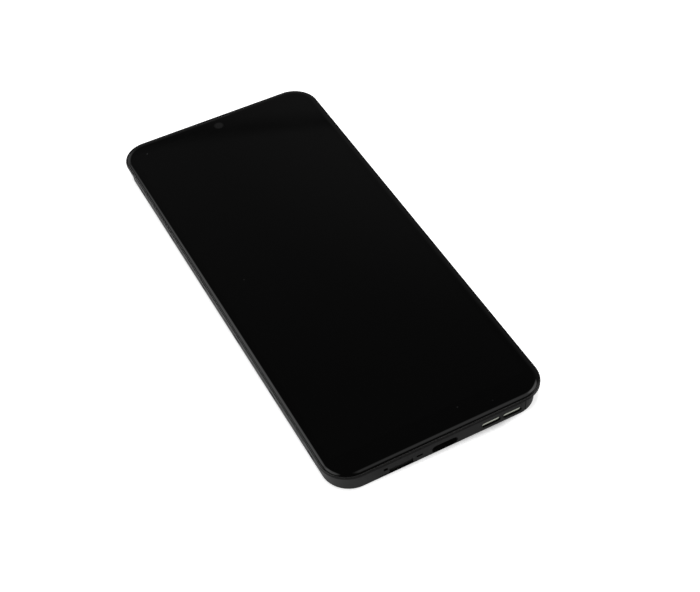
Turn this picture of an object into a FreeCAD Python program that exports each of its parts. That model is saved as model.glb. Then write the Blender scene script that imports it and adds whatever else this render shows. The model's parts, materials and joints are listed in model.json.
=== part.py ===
import FreeCAD, Part
import os
import Sketcher

# A replacement phone display, bonded into its mid frame, with the rear cover, battery and boards absent.
# Millimetres. X runs across the width, +Y to the front camera end, +Z out of the cover glass.
# The origin is the centre of the frame's outline, on the plane of the wall's foot.

SIZES = {
    # Frame outline, seen from the front
    "frame_width": 75.8,
    "frame_length": 167.7,
    "frame_corner": 9.5,
    "frame_height": 7.6,
    # Rim round the glass, which overhangs the wall that the rear cover slides over
    "rim_width": 0.5,
    "rim_face": 0.65,
    "rim_round": 0.4,
    "side_inset": 1.5,
    "end_inset": 1.05,
    "wall_corner": 9.0,
    "wall_thickness": 1.1,
    "foot_bevel": 0.25,
    # Ledges that carry the glass, round the deeper recess that holds the display
    "side_ledge": 2.2,
    "bottom_ledge": 2.15,
    "top_ledge": 4.0,
    "recess_corner": 6.5,
    # Cover glass and its tape
    "glass_thickness": 0.7,
    "glass_proud": 0.4,
    "glass_gap": 0.12,
    "glass_curve_width": 1.7,
    "glass_curve_drop": 0.42,
    "glass_tape": 0.2,
    "tape_margin": 0.3,
    # Display layers, from the cover glass down
    "optical_adhesive": 0.15,
    "front_polariser": 0.12,
    "filter_glass": 0.2,
    "array_glass": 0.2,
    "rear_polariser": 0.12,
    "prism_film": 0.07,
    "diffuser_film": 0.07,
    "light_guide": 0.4,
    "reflector_film": 0.08,
    "tray_sheet": 0.15,
    "cushion": 0.25,
    # Display outline
    "module_gap": 0.25,
    "module_foot_corner": 5.0,
    "notch_half_width": 3.5,
    "notch_round": 2.9,
    "flex_room": 1.8,
    "driver_ledge": 2.6,
    "polariser_step": 1.2,
    "light_border": 0.8,
    "film_gap": 0.1,
    # Driver chip and its tape
    "chip_length": 26.0,
    "chip_width": 1.1,
    "shield_margin": 4.95,
    "shield_thickness": 0.06,
    # Light row
    "light_count": 12,
    "light_row_margin": 11.1,
    "light_length": 3.0,
    "light_depth": 0.7,
    "light_flex": 0.1,
    "light_flex_overlap": 0.7,
    # Display flex, its stiffener and its connector
    "flex_thickness": 0.1,
    "flex_bond_width": 24.0,
    "flex_tail_width": 11.0,
    "flex_bond": 0.9,
    "flex_bulge": 0.6,
    "flex_bend": 0.5,
    "flex_slot": 2.4,
    "flex_slot_from_bottom": 19.85,
    "flex_drop": 0.5,
    "flex_end_from_bottom": 30.35,
    "stiffener_thickness": 0.25,
    "connector_length": 9.6,
    "connector_width": 2.6,
    "connector_height": 0.8,
    # Metal mid plate, moulded into the frame's web
    "plate_thickness": 0.5,
    "plate_lip": 1.6,
    "plate_lip_depth": 0.5,
    "plate_side_margin": 1.7,
    "plate_from_bottom": 37.85,
    "shoulder_from_top": 45.85,
    "plate_from_top": 15.85,
    "neck_from_bosses": 5.5,
    "plate_round": 2.0,
    "datum_place": 4.5,
    "datum_radius": 1.0,
    # Ribs on the web's underside
    "rib_thickness": 1.0,
    "seat_rib": 0.8,
    "rib_foot": 1.0,
    "bay_from_bottom": 35.35,
    "bay_from_top": 44.35,
    "cable_channel": 2.3,
    "cable_gap": 9.0,
    "gusset_count": 7,
    "gusset_foot": 3.3,
    # Screw bosses with threaded inserts
    "boss_from_wall": 5.9,
    "far_boss_from_end": 8.35,
    "near_boss_from_top": 39.35,
    "near_boss_from_bottom": 30.35,
    "boss_radius": 2.1,
    "boss_foot": 0.9,
    "insert_radius": 1.2,
    "insert_hole_radius": 0.6,
    "insert_length": 2.2,
    # Socket and sound openings in the bottom wall, heights above the foot
    "socket_place": 0.45,
    "socket_length": 9.0,
    "socket_height": 3.0,
    "socket_level": 1.85,
    "socket_tunnel": 2.4,
    "socket_guide": 6.6,
    "sound_slot_length": 6.85,
    "sound_slot_height": 1.9,
    "sound_slot_level": 2.4,
    "sound_slots_from_bosses": 17.1,
    "sound_slot_bridge": 0.7,
    "sound_wall": 0.8,
    "sound_room_depth": 11.0,
    "microphone_place": -8.25,
    "microphone_length": 2.2,
    "microphone_height": 0.8,
    "microphone_level": 2.4,
    "tool_hole_place": -19.9,
    "tool_hole_width": 1.4,
    "tool_hole_height": 1.1,
    "tool_hole_level": 3.1,
    "jack_seat_start": -18.6,
    "jack_seat_end": -10.55,
    "jack_seat_top": 2.6,
    "jack_seat_depth": 0.6,
    "jack_cradle_length": 13.0,
    "latch_slot_start": -21.9,
    "latch_slot_end": -17.8,
    "latch_slot_top": 0.95,
    "latch_slot_depth": 0.7,
    "foot_lip": 0.3,
    "groove_depth": 0.35,
    "groove_from_wall": 7.2,
    "groove_width": 0.4,
    # Key windows in the right wall and card slot in the left wall
    "key_level": 3.2,
    "key_height": 1.8,
    "power_from_top": 69.85,
    "power_length": 9.0,
    "volume_from_top": 47.85,
    "volume_length": 19.0,
    "card_from_top": 27.85,
    "card_length": 15.0,
    "card_height": 1.6,
    "card_level": 2.6,
    # Catches for the rear cover along both side walls
    "catch_from_end": 17.85,
    "catch_count": 6,
    "catch_length": 4.0,
    "catch_height": 0.8,
    "catch_level": 1.2,
    "catch_depth": 0.4,
    # Front camera window, earpiece and sensor at the top end
    "camera_from_end": 5.2,
    "camera_hole_radius": 2.0,
    "gasket_radius": 2.9,
    "slit_half_length": 6.0,
    "slit_depth": 0.55,
    "slit_ledge": 1.0,
    "mesh_thickness": 0.1,
    "duct_start": -17.0,
    "duct_end": -9.5,
    "duct_width": 1.5,
    "duct_depth": 0.8,
    "duct_margin": 0.5,
    "sensor_place": 11.0,
    "sensor_length": 4.4,
    "sensor_width": 1.8,
    "sensor_wall": 0.4,
    "sensor_drop": 0.8,
    "receiver_length": 15.0,
    "receiver_depth": 6.5,
    "motor_from_bosses": 8.5,
    "motor_from_bottom": 22.35,
    "motor_radius": 5.2,
    "camera_bay_from_bosses": 12.5,
    "camera_bay_from_top": 10.05,
    "camera_bay_length": 12.0,
    "camera_bay_width": 7.0,
    # Sheets and pads on the mid plate's underside
    "graphite_thickness": 0.1,
    "graphite_margin": 1.0,
    "battery_tape_thickness": 0.15,
    "battery_tape_width": 13.0,
    "battery_tape_margin": 20.0,
    "battery_tab_width": 5.0,
    "battery_tab_length": 5.0,
    "pad_length": 4.0,
    "pad_width": 2.0,
    "pad_height": 0.7,
    # Allowances
    "fit_gap": 0.05,
}


class Size:
    """A length with its number and the expression that ties it to the sheet."""

    def __init__(self, text, value):
        self.text = text
        self.value = value

    def joined(self, sign, other, value):
        return Size(f"({self.text} {sign} {as_size(other).text})", value)

    def __add__(self, other):
        return self.joined("+", other, self.value + as_size(other).value)

    def __sub__(self, other):
        return self.joined("-", other, self.value - as_size(other).value)

    def __mul__(self, other):
        return self.joined("*", other, self.value * as_size(other).value)

    def __truediv__(self, other):
        return self.joined("/", other, self.value / as_size(other).value)

    def __neg__(self):
        return Size(f"(0 - {self.text})", -self.value)


def as_size(number):
    """A plain number as a length of its own; a length stays as it is."""
    if isinstance(number, Size):
        return number
    return Size(f"({number})", float(number))


class Sheet:
    """The driving dimensions: one cell with an alias for each, read here as attributes."""

    def __init__(self, document, sizes):
        self.sizes = sizes
        self.cells = document.addObject("Spreadsheet::Sheet", "Sizes")
        for row, (alias, value) in enumerate(sizes.items(), start=1):
            self.cells.set(f"A{row}", alias)
            self.cells.set(f"B{row}", str(value))
            self.cells.setAlias(f"B{row}", alias)

    def __getattr__(self, alias):
        return Size("Sizes." + alias, float(self.sizes[alias]))


doc = FreeCAD.newDocument("phone_display")
s = Sheet(doc, SIZES)
doc.recompute()

# Levels, from the top of the glass down
RIM_TOP = s.frame_height
RIM_FOOT = RIM_TOP - s.rim_face
GLASS_TOP = RIM_TOP + s.glass_proud
GLASS_BOTTOM = GLASS_TOP - s.glass_thickness
SEAT = GLASS_BOTTOM - s.glass_tape
ADHESIVE_BOTTOM = GLASS_BOTTOM - s.optical_adhesive
FILTER_TOP = ADHESIVE_BOTTOM - s.front_polariser
FILTER_BOTTOM = FILTER_TOP - s.filter_glass
ARRAY_BOTTOM = FILTER_BOTTOM - s.array_glass
BACKLIGHT_TOP = ARRAY_BOTTOM - s.rear_polariser
UPPER_PRISM_BOTTOM = BACKLIGHT_TOP - s.prism_film
LOWER_PRISM_BOTTOM = UPPER_PRISM_BOTTOM - s.prism_film
GUIDE_TOP = LOWER_PRISM_BOTTOM - s.diffuser_film
GUIDE_BOTTOM = GUIDE_TOP - s.light_guide
TRAY_TOP = GUIDE_BOTTOM - s.reflector_film
TRAY_BOTTOM = TRAY_TOP - s.tray_sheet
PLATE_TOP = TRAY_BOTTOM - s.cushion
PLATE_BOTTOM = PLATE_TOP - s.plate_thickness
WEB_BOTTOM = PLATE_BOTTOM - s.plate_lip_depth

# Outlines, as distances from the centre
HALF_WIDTH = s.frame_width / 2
HALF_LENGTH = s.frame_length / 2
WALL_X = HALF_WIDTH - s.side_inset
WALL_Y = HALF_LENGTH - s.end_inset
ROOM_X = WALL_X - s.wall_thickness
ROOM_Y = WALL_Y - s.wall_thickness
ROOM_CORNER = s.wall_corner - s.wall_thickness
SEAT_X = HALF_WIDTH - s.rim_width
SEAT_Y = HALF_LENGTH - s.rim_width
SEAT_CORNER = s.frame_corner - s.rim_width
GLASS_X = SEAT_X - s.glass_gap
GLASS_Y = SEAT_Y - s.glass_gap
GLASS_CORNER = SEAT_CORNER - s.glass_gap
RECESS_X = SEAT_X - s.side_ledge
RECESS_TOP = SEAT_Y - s.top_ledge
RECESS_BOTTOM = s.bottom_ledge - SEAT_Y
MODULE_X = RECESS_X - s.module_gap
MODULE_TOP = RECESS_TOP - s.module_gap
MODULE_CORNER = s.recess_corner - s.module_gap
ARRAY_END = RECESS_BOTTOM + s.flex_room
FILTER_END = ARRAY_END + s.driver_ledge
POLARISER_END = FILTER_END + s.polariser_step
CAMERA_Y = HALF_LENGTH - s.camera_from_end
NOTCH_FLOOR = CAMERA_Y - s.notch_half_width
PLATE_X = ROOM_X - s.plate_side_margin
BOSS_X = WALL_X - s.boss_from_wall
PLATE_NECK = BOSS_X - s.neck_from_bosses
PLATE_END = s.plate_from_bottom - HALF_LENGTH
PLATE_SHOULDER = HALF_LENGTH - s.shoulder_from_top
PLATE_HEAD = HALF_LENGTH - s.plate_from_top
BAY_BOTTOM = s.bay_from_bottom - HALF_LENGTH
BAY_TOP = HALF_LENGTH - s.bay_from_top


def rectangle(left, right, bottom, top, radius=None):
    """Corners of a rectangle, anticlockwise, all rounded by one radius."""
    return [(left, bottom, radius), (right, bottom, radius), (right, top, radius), (left, top, radius)]


def centred(half_x, half_y, radius=None):
    """Corners of a rectangle about the origin."""
    return rectangle(-half_x, half_x, -half_y, half_y, radius)


def around(x, y, length, width, radius=None):
    """Corners of a rectangle about a point."""
    x = as_size(x)
    y = as_size(y)
    return rectangle(x - length / 2, x + length / 2, y - width / 2, y + width / 2, radius)


def notched(inset, end, foot=None, notch=None):
    """Corners of a display layer: the module outline moved inwards, with the camera notch at its top."""
    corner = MODULE_CORNER - inset
    side = MODULE_X - inset
    top = MODULE_TOP - inset
    mouth = s.notch_half_width + inset
    floor = NOTCH_FLOOR - inset
    return [
        (-side, end, foot), (side, end, foot), (side, top, corner), (mouth, top, None),
        (mouth, floor, notch), (-mouth, floor, notch), (-mouth, top, None), (-side, top, corner),
    ]


def footed(inset, end):
    """Corners of a layer that reaches the rounded foot corners of the recess."""
    return notched(inset, end, s.module_foot_corner - inset)


def plate_outline(inset):
    """Corners of the mid plate: wide over the battery bay, with a neck between the upper bosses."""
    side = PLATE_X - inset
    neck = PLATE_NECK - inset
    bottom = PLATE_END + inset
    shoulder = PLATE_SHOULDER - inset
    top = PLATE_HEAD - inset
    turn = s.plate_round
    return [
        (-side, bottom, turn), (side, bottom, turn), (side, shoulder, turn), (neck, shoulder, None),
        (neck, top, turn), (-neck, top, turn), (-neck, shoulder, None), (-side, shoulder, turn),
    ]


def new_body(name, level=None):
    """A body named after its piece, standing at its own level."""
    body = doc.addObject("PartDesign::Body", name)
    body.Label = name
    if level is not None:
        body.setExpression("Placement.Base.z", level.text)
    return body


def new_sketch(body, name, role="XY_Plane", height=None):
    """A sketch on one of the body's own origin planes, moved along that plane's normal by height."""
    sketch = body.newObject("Sketcher::SketchObject", f"{body.Name}_{name}")
    plane = next(feature for feature in body.Origin.OriginFeatures if feature.Role == role)
    sketch.AttachmentSupport = [(plane, "")]
    sketch.MapMode = "FlatFace"
    if height is not None:
        sketch.setExpression("AttachmentOffset.Base.z", height.text)
    return sketch


def dimension(sketch, kind, places, size):
    """One dimension of a sketch, tied to the sheet."""
    name = f"size_{sketch.ConstraintCount}"
    index = sketch.addConstraint(Sketcher.Constraint(kind, *places, size.value))
    sketch.renameConstraint(index, name)
    sketch.setExpression("Constraints." + name, size.text)


def unit(start, end):
    """Unit direction from one point to another that lies along an axis from it."""
    step = end - start
    return step / step.Length


def outline(sketch, corners, closed=True):
    """Edges along the two axes through the corners, with a tangent arc at each corner that has a radius.

    A corner is (x, y, radius). Each edge's place and each radius is a dimension of the sketch.
    """
    corners = [(as_size(x), as_size(y), radius) for x, y, radius in corners]
    count = len(corners)
    points = [FreeCAD.Vector(x.value, y.value, 0) for x, y, radius in corners]
    edge_count = count if closed else count - 1
    lines = []
    for index in range(edge_count):
        start = points[index]
        end = points[(index + 1) % count]
        along = unit(start, end)
        lead = corners[index][2] if closed or index > 0 else None
        tail = corners[(index + 1) % count][2] if closed or index < edge_count - 1 else None
        first = start + along * (lead.value if lead else 0)
        last = end - along * (tail.value if tail else 0)
        level = abs(along.x) > 0.5
        line = sketch.addGeometry(Part.LineSegment(first, last), False)
        sketch.addConstraint(Sketcher.Constraint("Horizontal" if level else "Vertical", line))
        kind, place = ("DistanceY", corners[index][1]) if level else ("DistanceX", corners[index][0])
        dimension(sketch, kind, (-1, 1, line, 1), place)
        lines.append(line)
    for index in range(0 if closed else 1, count if closed else count - 1):
        radius = corners[index][2]
        before = lines[index - 1]
        after = lines[index % edge_count]
        if radius is None:
            sketch.addConstraint(Sketcher.Constraint("Coincident", before, 2, after, 1))
        else:
            round_corner(sketch, points[index - 1], points[index], points[(index + 1) % count], radius,
                         before, after)
    if not closed:
        ends = ((0, 0, 1), (edge_count - 1, count - 1, 2))
        for edge, corner, end in ends:
            level = abs(unit(points[edge], points[edge + 1]).x) > 0.5
            kind, place = ("DistanceX", corners[corner][0]) if level else ("DistanceY", corners[corner][1])
            dimension(sketch, kind, (-1, 1, lines[edge], end), place)


def round_corner(sketch, previous, corner, following, radius, before, after):
    """An arc between two edges that meet at a right angle, tangent to both."""
    arriving = unit(previous, corner)
    leaving = unit(corner, following)
    centre = corner - arriving * radius.value + leaving * radius.value
    first = corner - arriving * radius.value
    last = corner + leaving * radius.value
    left_turn = arriving.x * leaving.y - arriving.y * leaving.x > 0
    start, end = (first, last) if left_turn else (last, first)
    circle_shape = Part.Circle(centre, FreeCAD.Vector(0, 0, 1), radius.value)
    arc = Part.ArcOfCircle(circle_shape, circle_shape.parameter(start), circle_shape.parameter(end))
    number = sketch.addGeometry(arc, False)
    arrival, departure = (1, 2) if left_turn else (2, 1)
    sketch.addConstraint(Sketcher.Constraint("Tangent", before, 2, number, arrival))
    sketch.addConstraint(Sketcher.Constraint("Tangent", number, departure, after, 1))
    dimension(sketch, "Radius", (number,), radius)


def circle(sketch, x, y, radius):
    """A circle whose centre and radius are dimensions of the sketch."""
    x = as_size(x)
    y = as_size(y)
    shape = Part.Circle(FreeCAD.Vector(x.value, y.value, 0), FreeCAD.Vector(0, 0, 1), radius.value)
    number = sketch.addGeometry(shape, False)
    dimension(sketch, "Radius", (number,), radius)
    dimension(sketch, "DistanceX", (-1, 1, number, 3), x)
    dimension(sketch, "DistanceY", (-1, 1, number, 3), y)


def stadium(sketch, x, y, length, height):
    """A slot with round ends about a point, lying along the sketch's first axis."""
    x = as_size(x)
    radius = height / 2
    left = x - length / 2 + radius
    right = x + length / 2 - radius
    normal = FreeCAD.Vector(0, 0, 1)
    up = FreeCAD.Vector(0, radius.value, 0)
    ends = []
    for place, start, end in ((left, up, -up), (right, -up, up)):
        centre = FreeCAD.Vector(place.value, y.value, 0)
        shape = Part.Circle(centre, normal, radius.value)
        arc = Part.ArcOfCircle(shape, shape.parameter(centre + start), shape.parameter(centre + end))
        ends.append((sketch.addGeometry(arc, False), centre))
    (left_arc, left_centre), (right_arc, right_centre) = ends
    bottom = sketch.addGeometry(Part.LineSegment(left_centre - up, right_centre - up), False)
    top = sketch.addGeometry(Part.LineSegment(right_centre + up, left_centre + up), False)
    for first, first_end, second, second_end in (
            (left_arc, 2, bottom, 1), (bottom, 2, right_arc, 1), (right_arc, 2, top, 1), (top, 2, left_arc, 1)):
        sketch.addConstraint(Sketcher.Constraint("Tangent", first, first_end, second, second_end))
    sketch.addConstraint(Sketcher.Constraint("Equal", left_arc, right_arc))
    dimension(sketch, "Radius", (left_arc,), radius)
    dimension(sketch, "DistanceX", (-1, 1, left_arc, 3), left)
    dimension(sketch, "DistanceY", (-1, 1, left_arc, 3), y)
    dimension(sketch, "DistanceX", (-1, 1, right_arc, 3), right)
    dimension(sketch, "DistanceY", (-1, 1, right_arc, 3), y)


def pad(body, sketch, length):
    """Adds material from the sketch along its plane's normal."""
    feature = body.newObject("PartDesign::Pad", sketch.Name + "_pad")
    feature.Profile = sketch
    feature.setExpression("Length", length.text)
    return feature


def pocket(body, sketch, depth):
    """Removes material from the sketch against its plane's normal."""
    feature = body.newObject("PartDesign::Pocket", sketch.Name + "_pocket")
    feature.Profile = sketch
    feature.setExpression("Length", depth.text)
    return feature


def padded(body, name, corners, length, height=None):
    """A pad of one outline drawn on the body's ground plane."""
    sketch = new_sketch(body, name, "XY_Plane", height)
    outline(sketch, corners)
    return pad(body, sketch, length)


def pocketed(body, name, corners, height, depth, role="XY_Plane"):
    """A pocket of one outline, cut from height down by depth."""
    sketch = new_sketch(body, name, role, height)
    outline(sketch, corners)
    return pocket(body, sketch, depth)


def repeated(body, feature, role, pitch, count):
    """Repeats a feature along one of the body's axes, a pitch apart."""
    axis = next(part for part in body.Origin.OriginFeatures if part.Role == role)
    pattern = body.newObject("PartDesign::LinearPattern", feature.Name + "_row")
    pattern.Originals = [feature]
    pattern.Direction = (axis, [""])
    pattern.Mode = "Spacing"
    pattern.setExpression("Offset", pitch.text)
    pattern.setExpression("Occurrences", count.text)
    body.Tip = pattern
    return pattern


def trimmed(body, feature, kind, size, chosen):
    """Rounds or bevels the edges of a feature that the chosen test picks out."""
    doc.recompute()
    names = [f"Edge{number}" for number, edge in enumerate(feature.Shape.Edges, start=1) if chosen(edge)]
    trim = body.newObject("PartDesign::" + kind, f"{feature.Name}_edge")
    trim.Base = (feature, names)
    trim.setExpression("Radius" if kind == "Fillet" else "Size", size.text)
    return trim


def on_outline(edge, half_x, half_y, level):
    """True for an edge at one level that lies on a centred outline's straights or corner arcs."""
    close = 0.001
    for vertex in edge.Vertexes:
        if abs(vertex.Z - level.value) > close:
            return False
        on_side = abs(abs(vertex.X) - half_x.value) < close
        on_end = abs(abs(vertex.Y) - half_y.value) < close
        if not (on_side or on_end):
            return False
    return True


# Cover glass and what bonds it

def make_cover_glass():
    """The cover glass, its front edge curved down all round, with the earpiece slit cut into its top edge."""
    body = new_body("cover_glass", GLASS_BOTTOM)
    padded(body, "slab", centred(GLASS_X, GLASS_Y, GLASS_CORNER), s.glass_thickness)
    route = new_sketch(body, "edge_route", "XY_Plane", s.glass_thickness)
    outline(route, centred(GLASS_X, GLASS_Y, GLASS_CORNER))
    section = new_sketch(body, "edge_section", "XZ_Plane")
    falling_arc(section, GLASS_X, s.glass_thickness, s.glass_curve_width, s.glass_curve_drop)
    curve = body.newObject("PartDesign::SubtractivePipe", "cover_glass_edge_curve")
    curve.Profile = section
    curve.Spine = (route, [])
    slit = rectangle(-s.slit_half_length, s.slit_half_length, GLASS_Y - s.slit_depth, SEAT_Y)
    pocketed(body, "slit", slit, s.glass_thickness, s.glass_thickness)


def falling_arc(sketch, edge, top, width, drop):
    """What a curved edge leaves out: the corner outside an arc that runs level into the top face.

    The arc's centre lies under its inner end, at the radius at which it falls by drop over width.
    """
    inner = edge - width
    radius = (width * width + drop * drop) / (drop * 2)
    start = FreeCAD.Vector(inner.value, top.value, 0)
    end = FreeCAD.Vector(edge.value, (top - drop).value, 0)
    centre = FreeCAD.Vector(inner.value, (top - radius).value, 0)
    shape = Part.Circle(centre, FreeCAD.Vector(0, 0, 1), radius.value)
    arc = sketch.addGeometry(Part.ArcOfCircle(shape, shape.parameter(end), shape.parameter(start)), False)
    corner = FreeCAD.Vector(edge.value, top.value, 0)
    side = sketch.addGeometry(Part.LineSegment(end, corner), False)
    level = sketch.addGeometry(Part.LineSegment(corner, start), False)
    for first, first_end, second, second_end in (
            (arc, 1, side, 1), (side, 2, level, 1), (level, 2, arc, 2)):
        sketch.addConstraint(Sketcher.Constraint("Coincident", first, first_end, second, second_end))
    sketch.addConstraint(Sketcher.Constraint("Vertical", side))
    sketch.addConstraint(Sketcher.Constraint("Horizontal", level))
    dimension(sketch, "Radius", (arc,), radius)
    dimension(sketch, "DistanceX", (-1, 1, arc, 3), inner)
    dimension(sketch, "DistanceX", (-1, 1, side, 1), edge)
    dimension(sketch, "DistanceY", (-1, 1, level, 1), top)
    dimension(sketch, "DistanceX", (-1, 1, level, 2), inner)


def make_glass_tape():
    """The tape ring between the ledge and the glass, open at the camera, the slit and the sensor."""
    body = new_body("glass_tape", SEAT)
    margin = s.tape_margin
    padded(body, "ring", centred(SEAT_X - margin, SEAT_Y - margin, SEAT_CORNER - margin), s.glass_tape)
    window = rectangle(-RECESS_X - margin, RECESS_X + margin, RECESS_BOTTOM - margin, RECESS_TOP + margin,
                       s.recess_corner + margin)
    pocketed(body, "window", window, s.glass_tape, s.glass_tape)
    camera = new_sketch(body, "camera", "XY_Plane", s.glass_tape)
    circle(camera, 0, CAMERA_Y, s.gasket_radius + s.film_gap)
    pocket(body, camera, s.glass_tape)
    slit = rectangle(-s.slit_half_length, s.slit_half_length, SEAT_Y - s.slit_ledge - margin, SEAT_Y)
    pocketed(body, "slit", slit, s.glass_tape, s.glass_tape)
    gap = s.film_gap * 2
    sensor = around(s.sensor_place, SENSOR_Y, s.sensor_length + gap, s.sensor_width + gap)
    pocketed(body, "sensor", sensor, s.glass_tape, s.glass_tape)


SENSOR_Y = RECESS_TOP + s.top_ledge / 2
DUCT_BOTTOM = RECESS_TOP + s.duct_margin
DUCT_TOP = DUCT_BOTTOM + s.duct_width
SLIT_BOTTOM = SEAT_Y - s.slit_ledge


def make_layer(name, bottom_level, thickness, corners):
    """One flat layer of the display, with the camera notch in its top edge."""
    body = new_body(name, bottom_level)
    padded(body, "sheet", corners, thickness)


def make_panel():
    """The glued panel: adhesive, polarisers, the two glasses, the driver chip and its light shield."""
    film = s.film_gap
    turn = s.notch_round
    foot = s.module_foot_corner - film
    front = notched(film * 2, POLARISER_END, None, turn)
    make_layer("optical_adhesive", ADHESIVE_BOTTOM, s.optical_adhesive, front)
    make_layer("front_polariser", FILTER_TOP, s.front_polariser, front)
    make_layer("colour_filter_glass", FILTER_BOTTOM, s.filter_glass, notched(film, FILTER_END, foot, turn))
    make_layer("array_glass", ARRAY_BOTTOM, s.array_glass, notched(film, ARRAY_END, foot, turn))
    rear = notched(s.light_border + film * 2, POLARISER_END)
    make_layer("rear_polariser", BACKLIGHT_TOP, s.rear_polariser, rear)

    chip_y = ARRAY_END + s.flex_bond + (s.driver_ledge - s.flex_bond) / 2
    chip = new_body("driver_chip", FILTER_BOTTOM)
    padded(chip, "chip", around(0, chip_y, s.chip_length, s.chip_width), s.filter_glass)

    shield = new_body("chip_shield_tape", FILTER_TOP)
    half = MODULE_X - s.shield_margin
    corners = rectangle(-half, half, ARRAY_END + s.flex_bond, POLARISER_END - film * 2)
    padded(shield, "tape", corners, s.shield_thickness)


# Backlight

TRAY_END = ARRAY_END + s.film_gap
LIGHT_FRAME_END = TRAY_END + s.tray_sheet
LIGHT_ROW_END = LIGHT_FRAME_END + s.light_border
GUIDE_END = LIGHT_ROW_END + s.light_depth + s.film_gap
FILM_END = GUIDE_END + s.light_flex_overlap + s.film_gap
WINDOW_INSET = s.tray_sheet + s.light_border


def make_backlight():
    """The backlight: steel tray, white moulding, reflector, light guide, films, tape and light row."""
    tray = new_body("backlight_tray", TRAY_BOTTOM)
    tray_height = BACKLIGHT_TOP - TRAY_BOTTOM - s.prism_film
    padded(tray, "pan", footed(as_size(0), TRAY_END), tray_height)
    pocketed(tray, "inside", footed(s.tray_sheet, LIGHT_FRAME_END), tray_height, tray_height - s.tray_sheet)

    moulding = new_body("backlight_frame", TRAY_TOP)
    depth = BACKLIGHT_TOP - TRAY_TOP
    padded(moulding, "ring", footed(s.tray_sheet, LIGHT_FRAME_END), depth)
    pocketed(moulding, "window", footed(WINDOW_INSET, LIGHT_ROW_END), depth, depth)

    tape = new_body("panel_tape", BACKLIGHT_TOP)
    padded(tape, "ring", footed(s.tray_sheet, LIGHT_FRAME_END), s.rear_polariser)
    pocketed(tape, "window", notched(WINDOW_INSET - s.film_gap, POLARISER_END - s.film_gap * 2),
             s.rear_polariser, s.rear_polariser)

    inset = WINDOW_INSET + s.film_gap
    make_layer("reflector_film", TRAY_TOP, s.reflector_film, footed(inset, LIGHT_ROW_END + s.film_gap))
    make_layer("light_guide", GUIDE_BOTTOM, s.light_guide, footed(inset, GUIDE_END))
    film = footed(inset, FILM_END)
    make_layer("diffuser_film", GUIDE_TOP, s.diffuser_film, film)
    make_layer("lower_prism_film", LOWER_PRISM_BOTTOM, s.prism_film, film)
    make_layer("upper_prism_film", UPPER_PRISM_BOTTOM, s.prism_film, film)

    pitch = (MODULE_X * 2 - s.light_row_margin) / s.light_count
    first = -(s.light_count - 1) * pitch / 2
    lights = new_body("light_row", GUIDE_BOTTOM)
    light_y = LIGHT_ROW_END + s.light_depth / 2
    lamp = padded(lights, "lamp", around(first, light_y, s.light_length, s.light_depth), s.light_guide)
    repeated(lights, lamp, "X_Axis", pitch, s.light_count)

    flex = new_body("light_row_flex", GUIDE_TOP)
    half = pitch * s.light_count / 2
    corners = rectangle(-half, half, LIGHT_ROW_END + s.film_gap, GUIDE_END + s.light_flex_overlap)
    padded(flex, "strip", corners, s.light_flex)


# Display flex, from its bond on the array glass round the tray to its connector behind the web

FLEX_TOP = FILTER_BOTTOM + s.flex_thickness / 2
FLEX_UNDER = TRAY_BOTTOM - s.flex_thickness / 2
FLEX_TURN = ARRAY_END - s.flex_bulge
FLEX_SLOT_Y = s.flex_slot_from_bottom - HALF_LENGTH
FLEX_DOWN = FLEX_SLOT_Y + s.flex_slot / 2
FLEX_TAIL = WEB_BOTTOM - s.flex_drop
FLEX_END = s.flex_end_from_bottom - HALF_LENGTH


def make_display_flex():
    """The flex as a ribbon along its route, wide at the bond and narrow where it passes the web."""
    body = new_body("display_flex")
    bend = s.flex_bend
    route = [
        (ARRAY_END + s.flex_bond, FLEX_TOP, None), (FLEX_TURN, FLEX_TOP, bend),
        (FLEX_TURN, FLEX_UNDER, bend), (FLEX_DOWN, FLEX_UNDER, bend),
        (FLEX_DOWN, FLEX_TAIL, bend), (FLEX_END, FLEX_TAIL, None),
    ]
    half = s.flex_thickness / 2
    sketch = new_sketch(body, "section", "YZ_Plane", -s.flex_bond_width / 2)
    ribbon_section(sketch, route, half)
    pad(body, sketch, s.flex_bond_width)
    top = FLEX_TOP + s.flex_thickness
    for side, name in ((-1, "left"), (1, "right")):
        near = s.flex_tail_width / 2 * side
        far = s.flex_bond_width * side
        left, right = (near, far) if side > 0 else (far, near)
        start = FLEX_DOWN - s.flex_slot * 2
        pocketed(body, name, rectangle(left, right, start, FLEX_END + s.flex_slot), top, top)

    stiffener = new_body("flex_stiffener", FLEX_TAIL + half)
    length = s.connector_width * 2
    middle = FLEX_END - length / 2
    width = s.flex_tail_width
    padded(stiffener, "sheet", around(0, middle, width, length), s.stiffener_thickness)

    connector = new_body("flex_connector", FLEX_TAIL - half - s.connector_height)
    corners = around(0, middle, s.connector_length, s.connector_width)
    padded(connector, "plug", corners, s.connector_height)
    well = around(0, middle, s.connector_length - s.connector_width, s.connector_width / 3)
    depth = s.connector_height / 2
    pocketed(connector, "well", well, depth, depth)


def ribbon_section(sketch, route, half):
    """The ribbon's section: its route moved to each side by half its thickness, joined at the ends."""
    near = moved(route, half)
    far = moved(route, -half)
    outline(sketch, near + far[::-1])


def moved(route, distance):
    """A route of edges along the axes, moved to its left by a distance, its radii with it."""
    points = [FreeCAD.Vector(x.value, y.value, 0) for x, y, radius in route]
    result = []
    for index, (x, y, radius) in enumerate(route):
        before = unit(points[index - 1], points[index]) if index > 0 else None
        after = unit(points[index], points[index + 1]) if index < len(route) - 1 else None
        for along in (before, after):
            if along is None:
                continue
            if abs(along.x) > 0.5:
                y = route[index][1] + distance * round(along.x)
            else:
                x = route[index][0] - distance * round(along.y)
        if radius is not None:
            left_turn = before.x * after.y - before.y * after.x > 0
            radius = radius - distance if left_turn else radius + distance
        result.append((x, y, radius))
    return result


# Frame moulding

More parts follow.
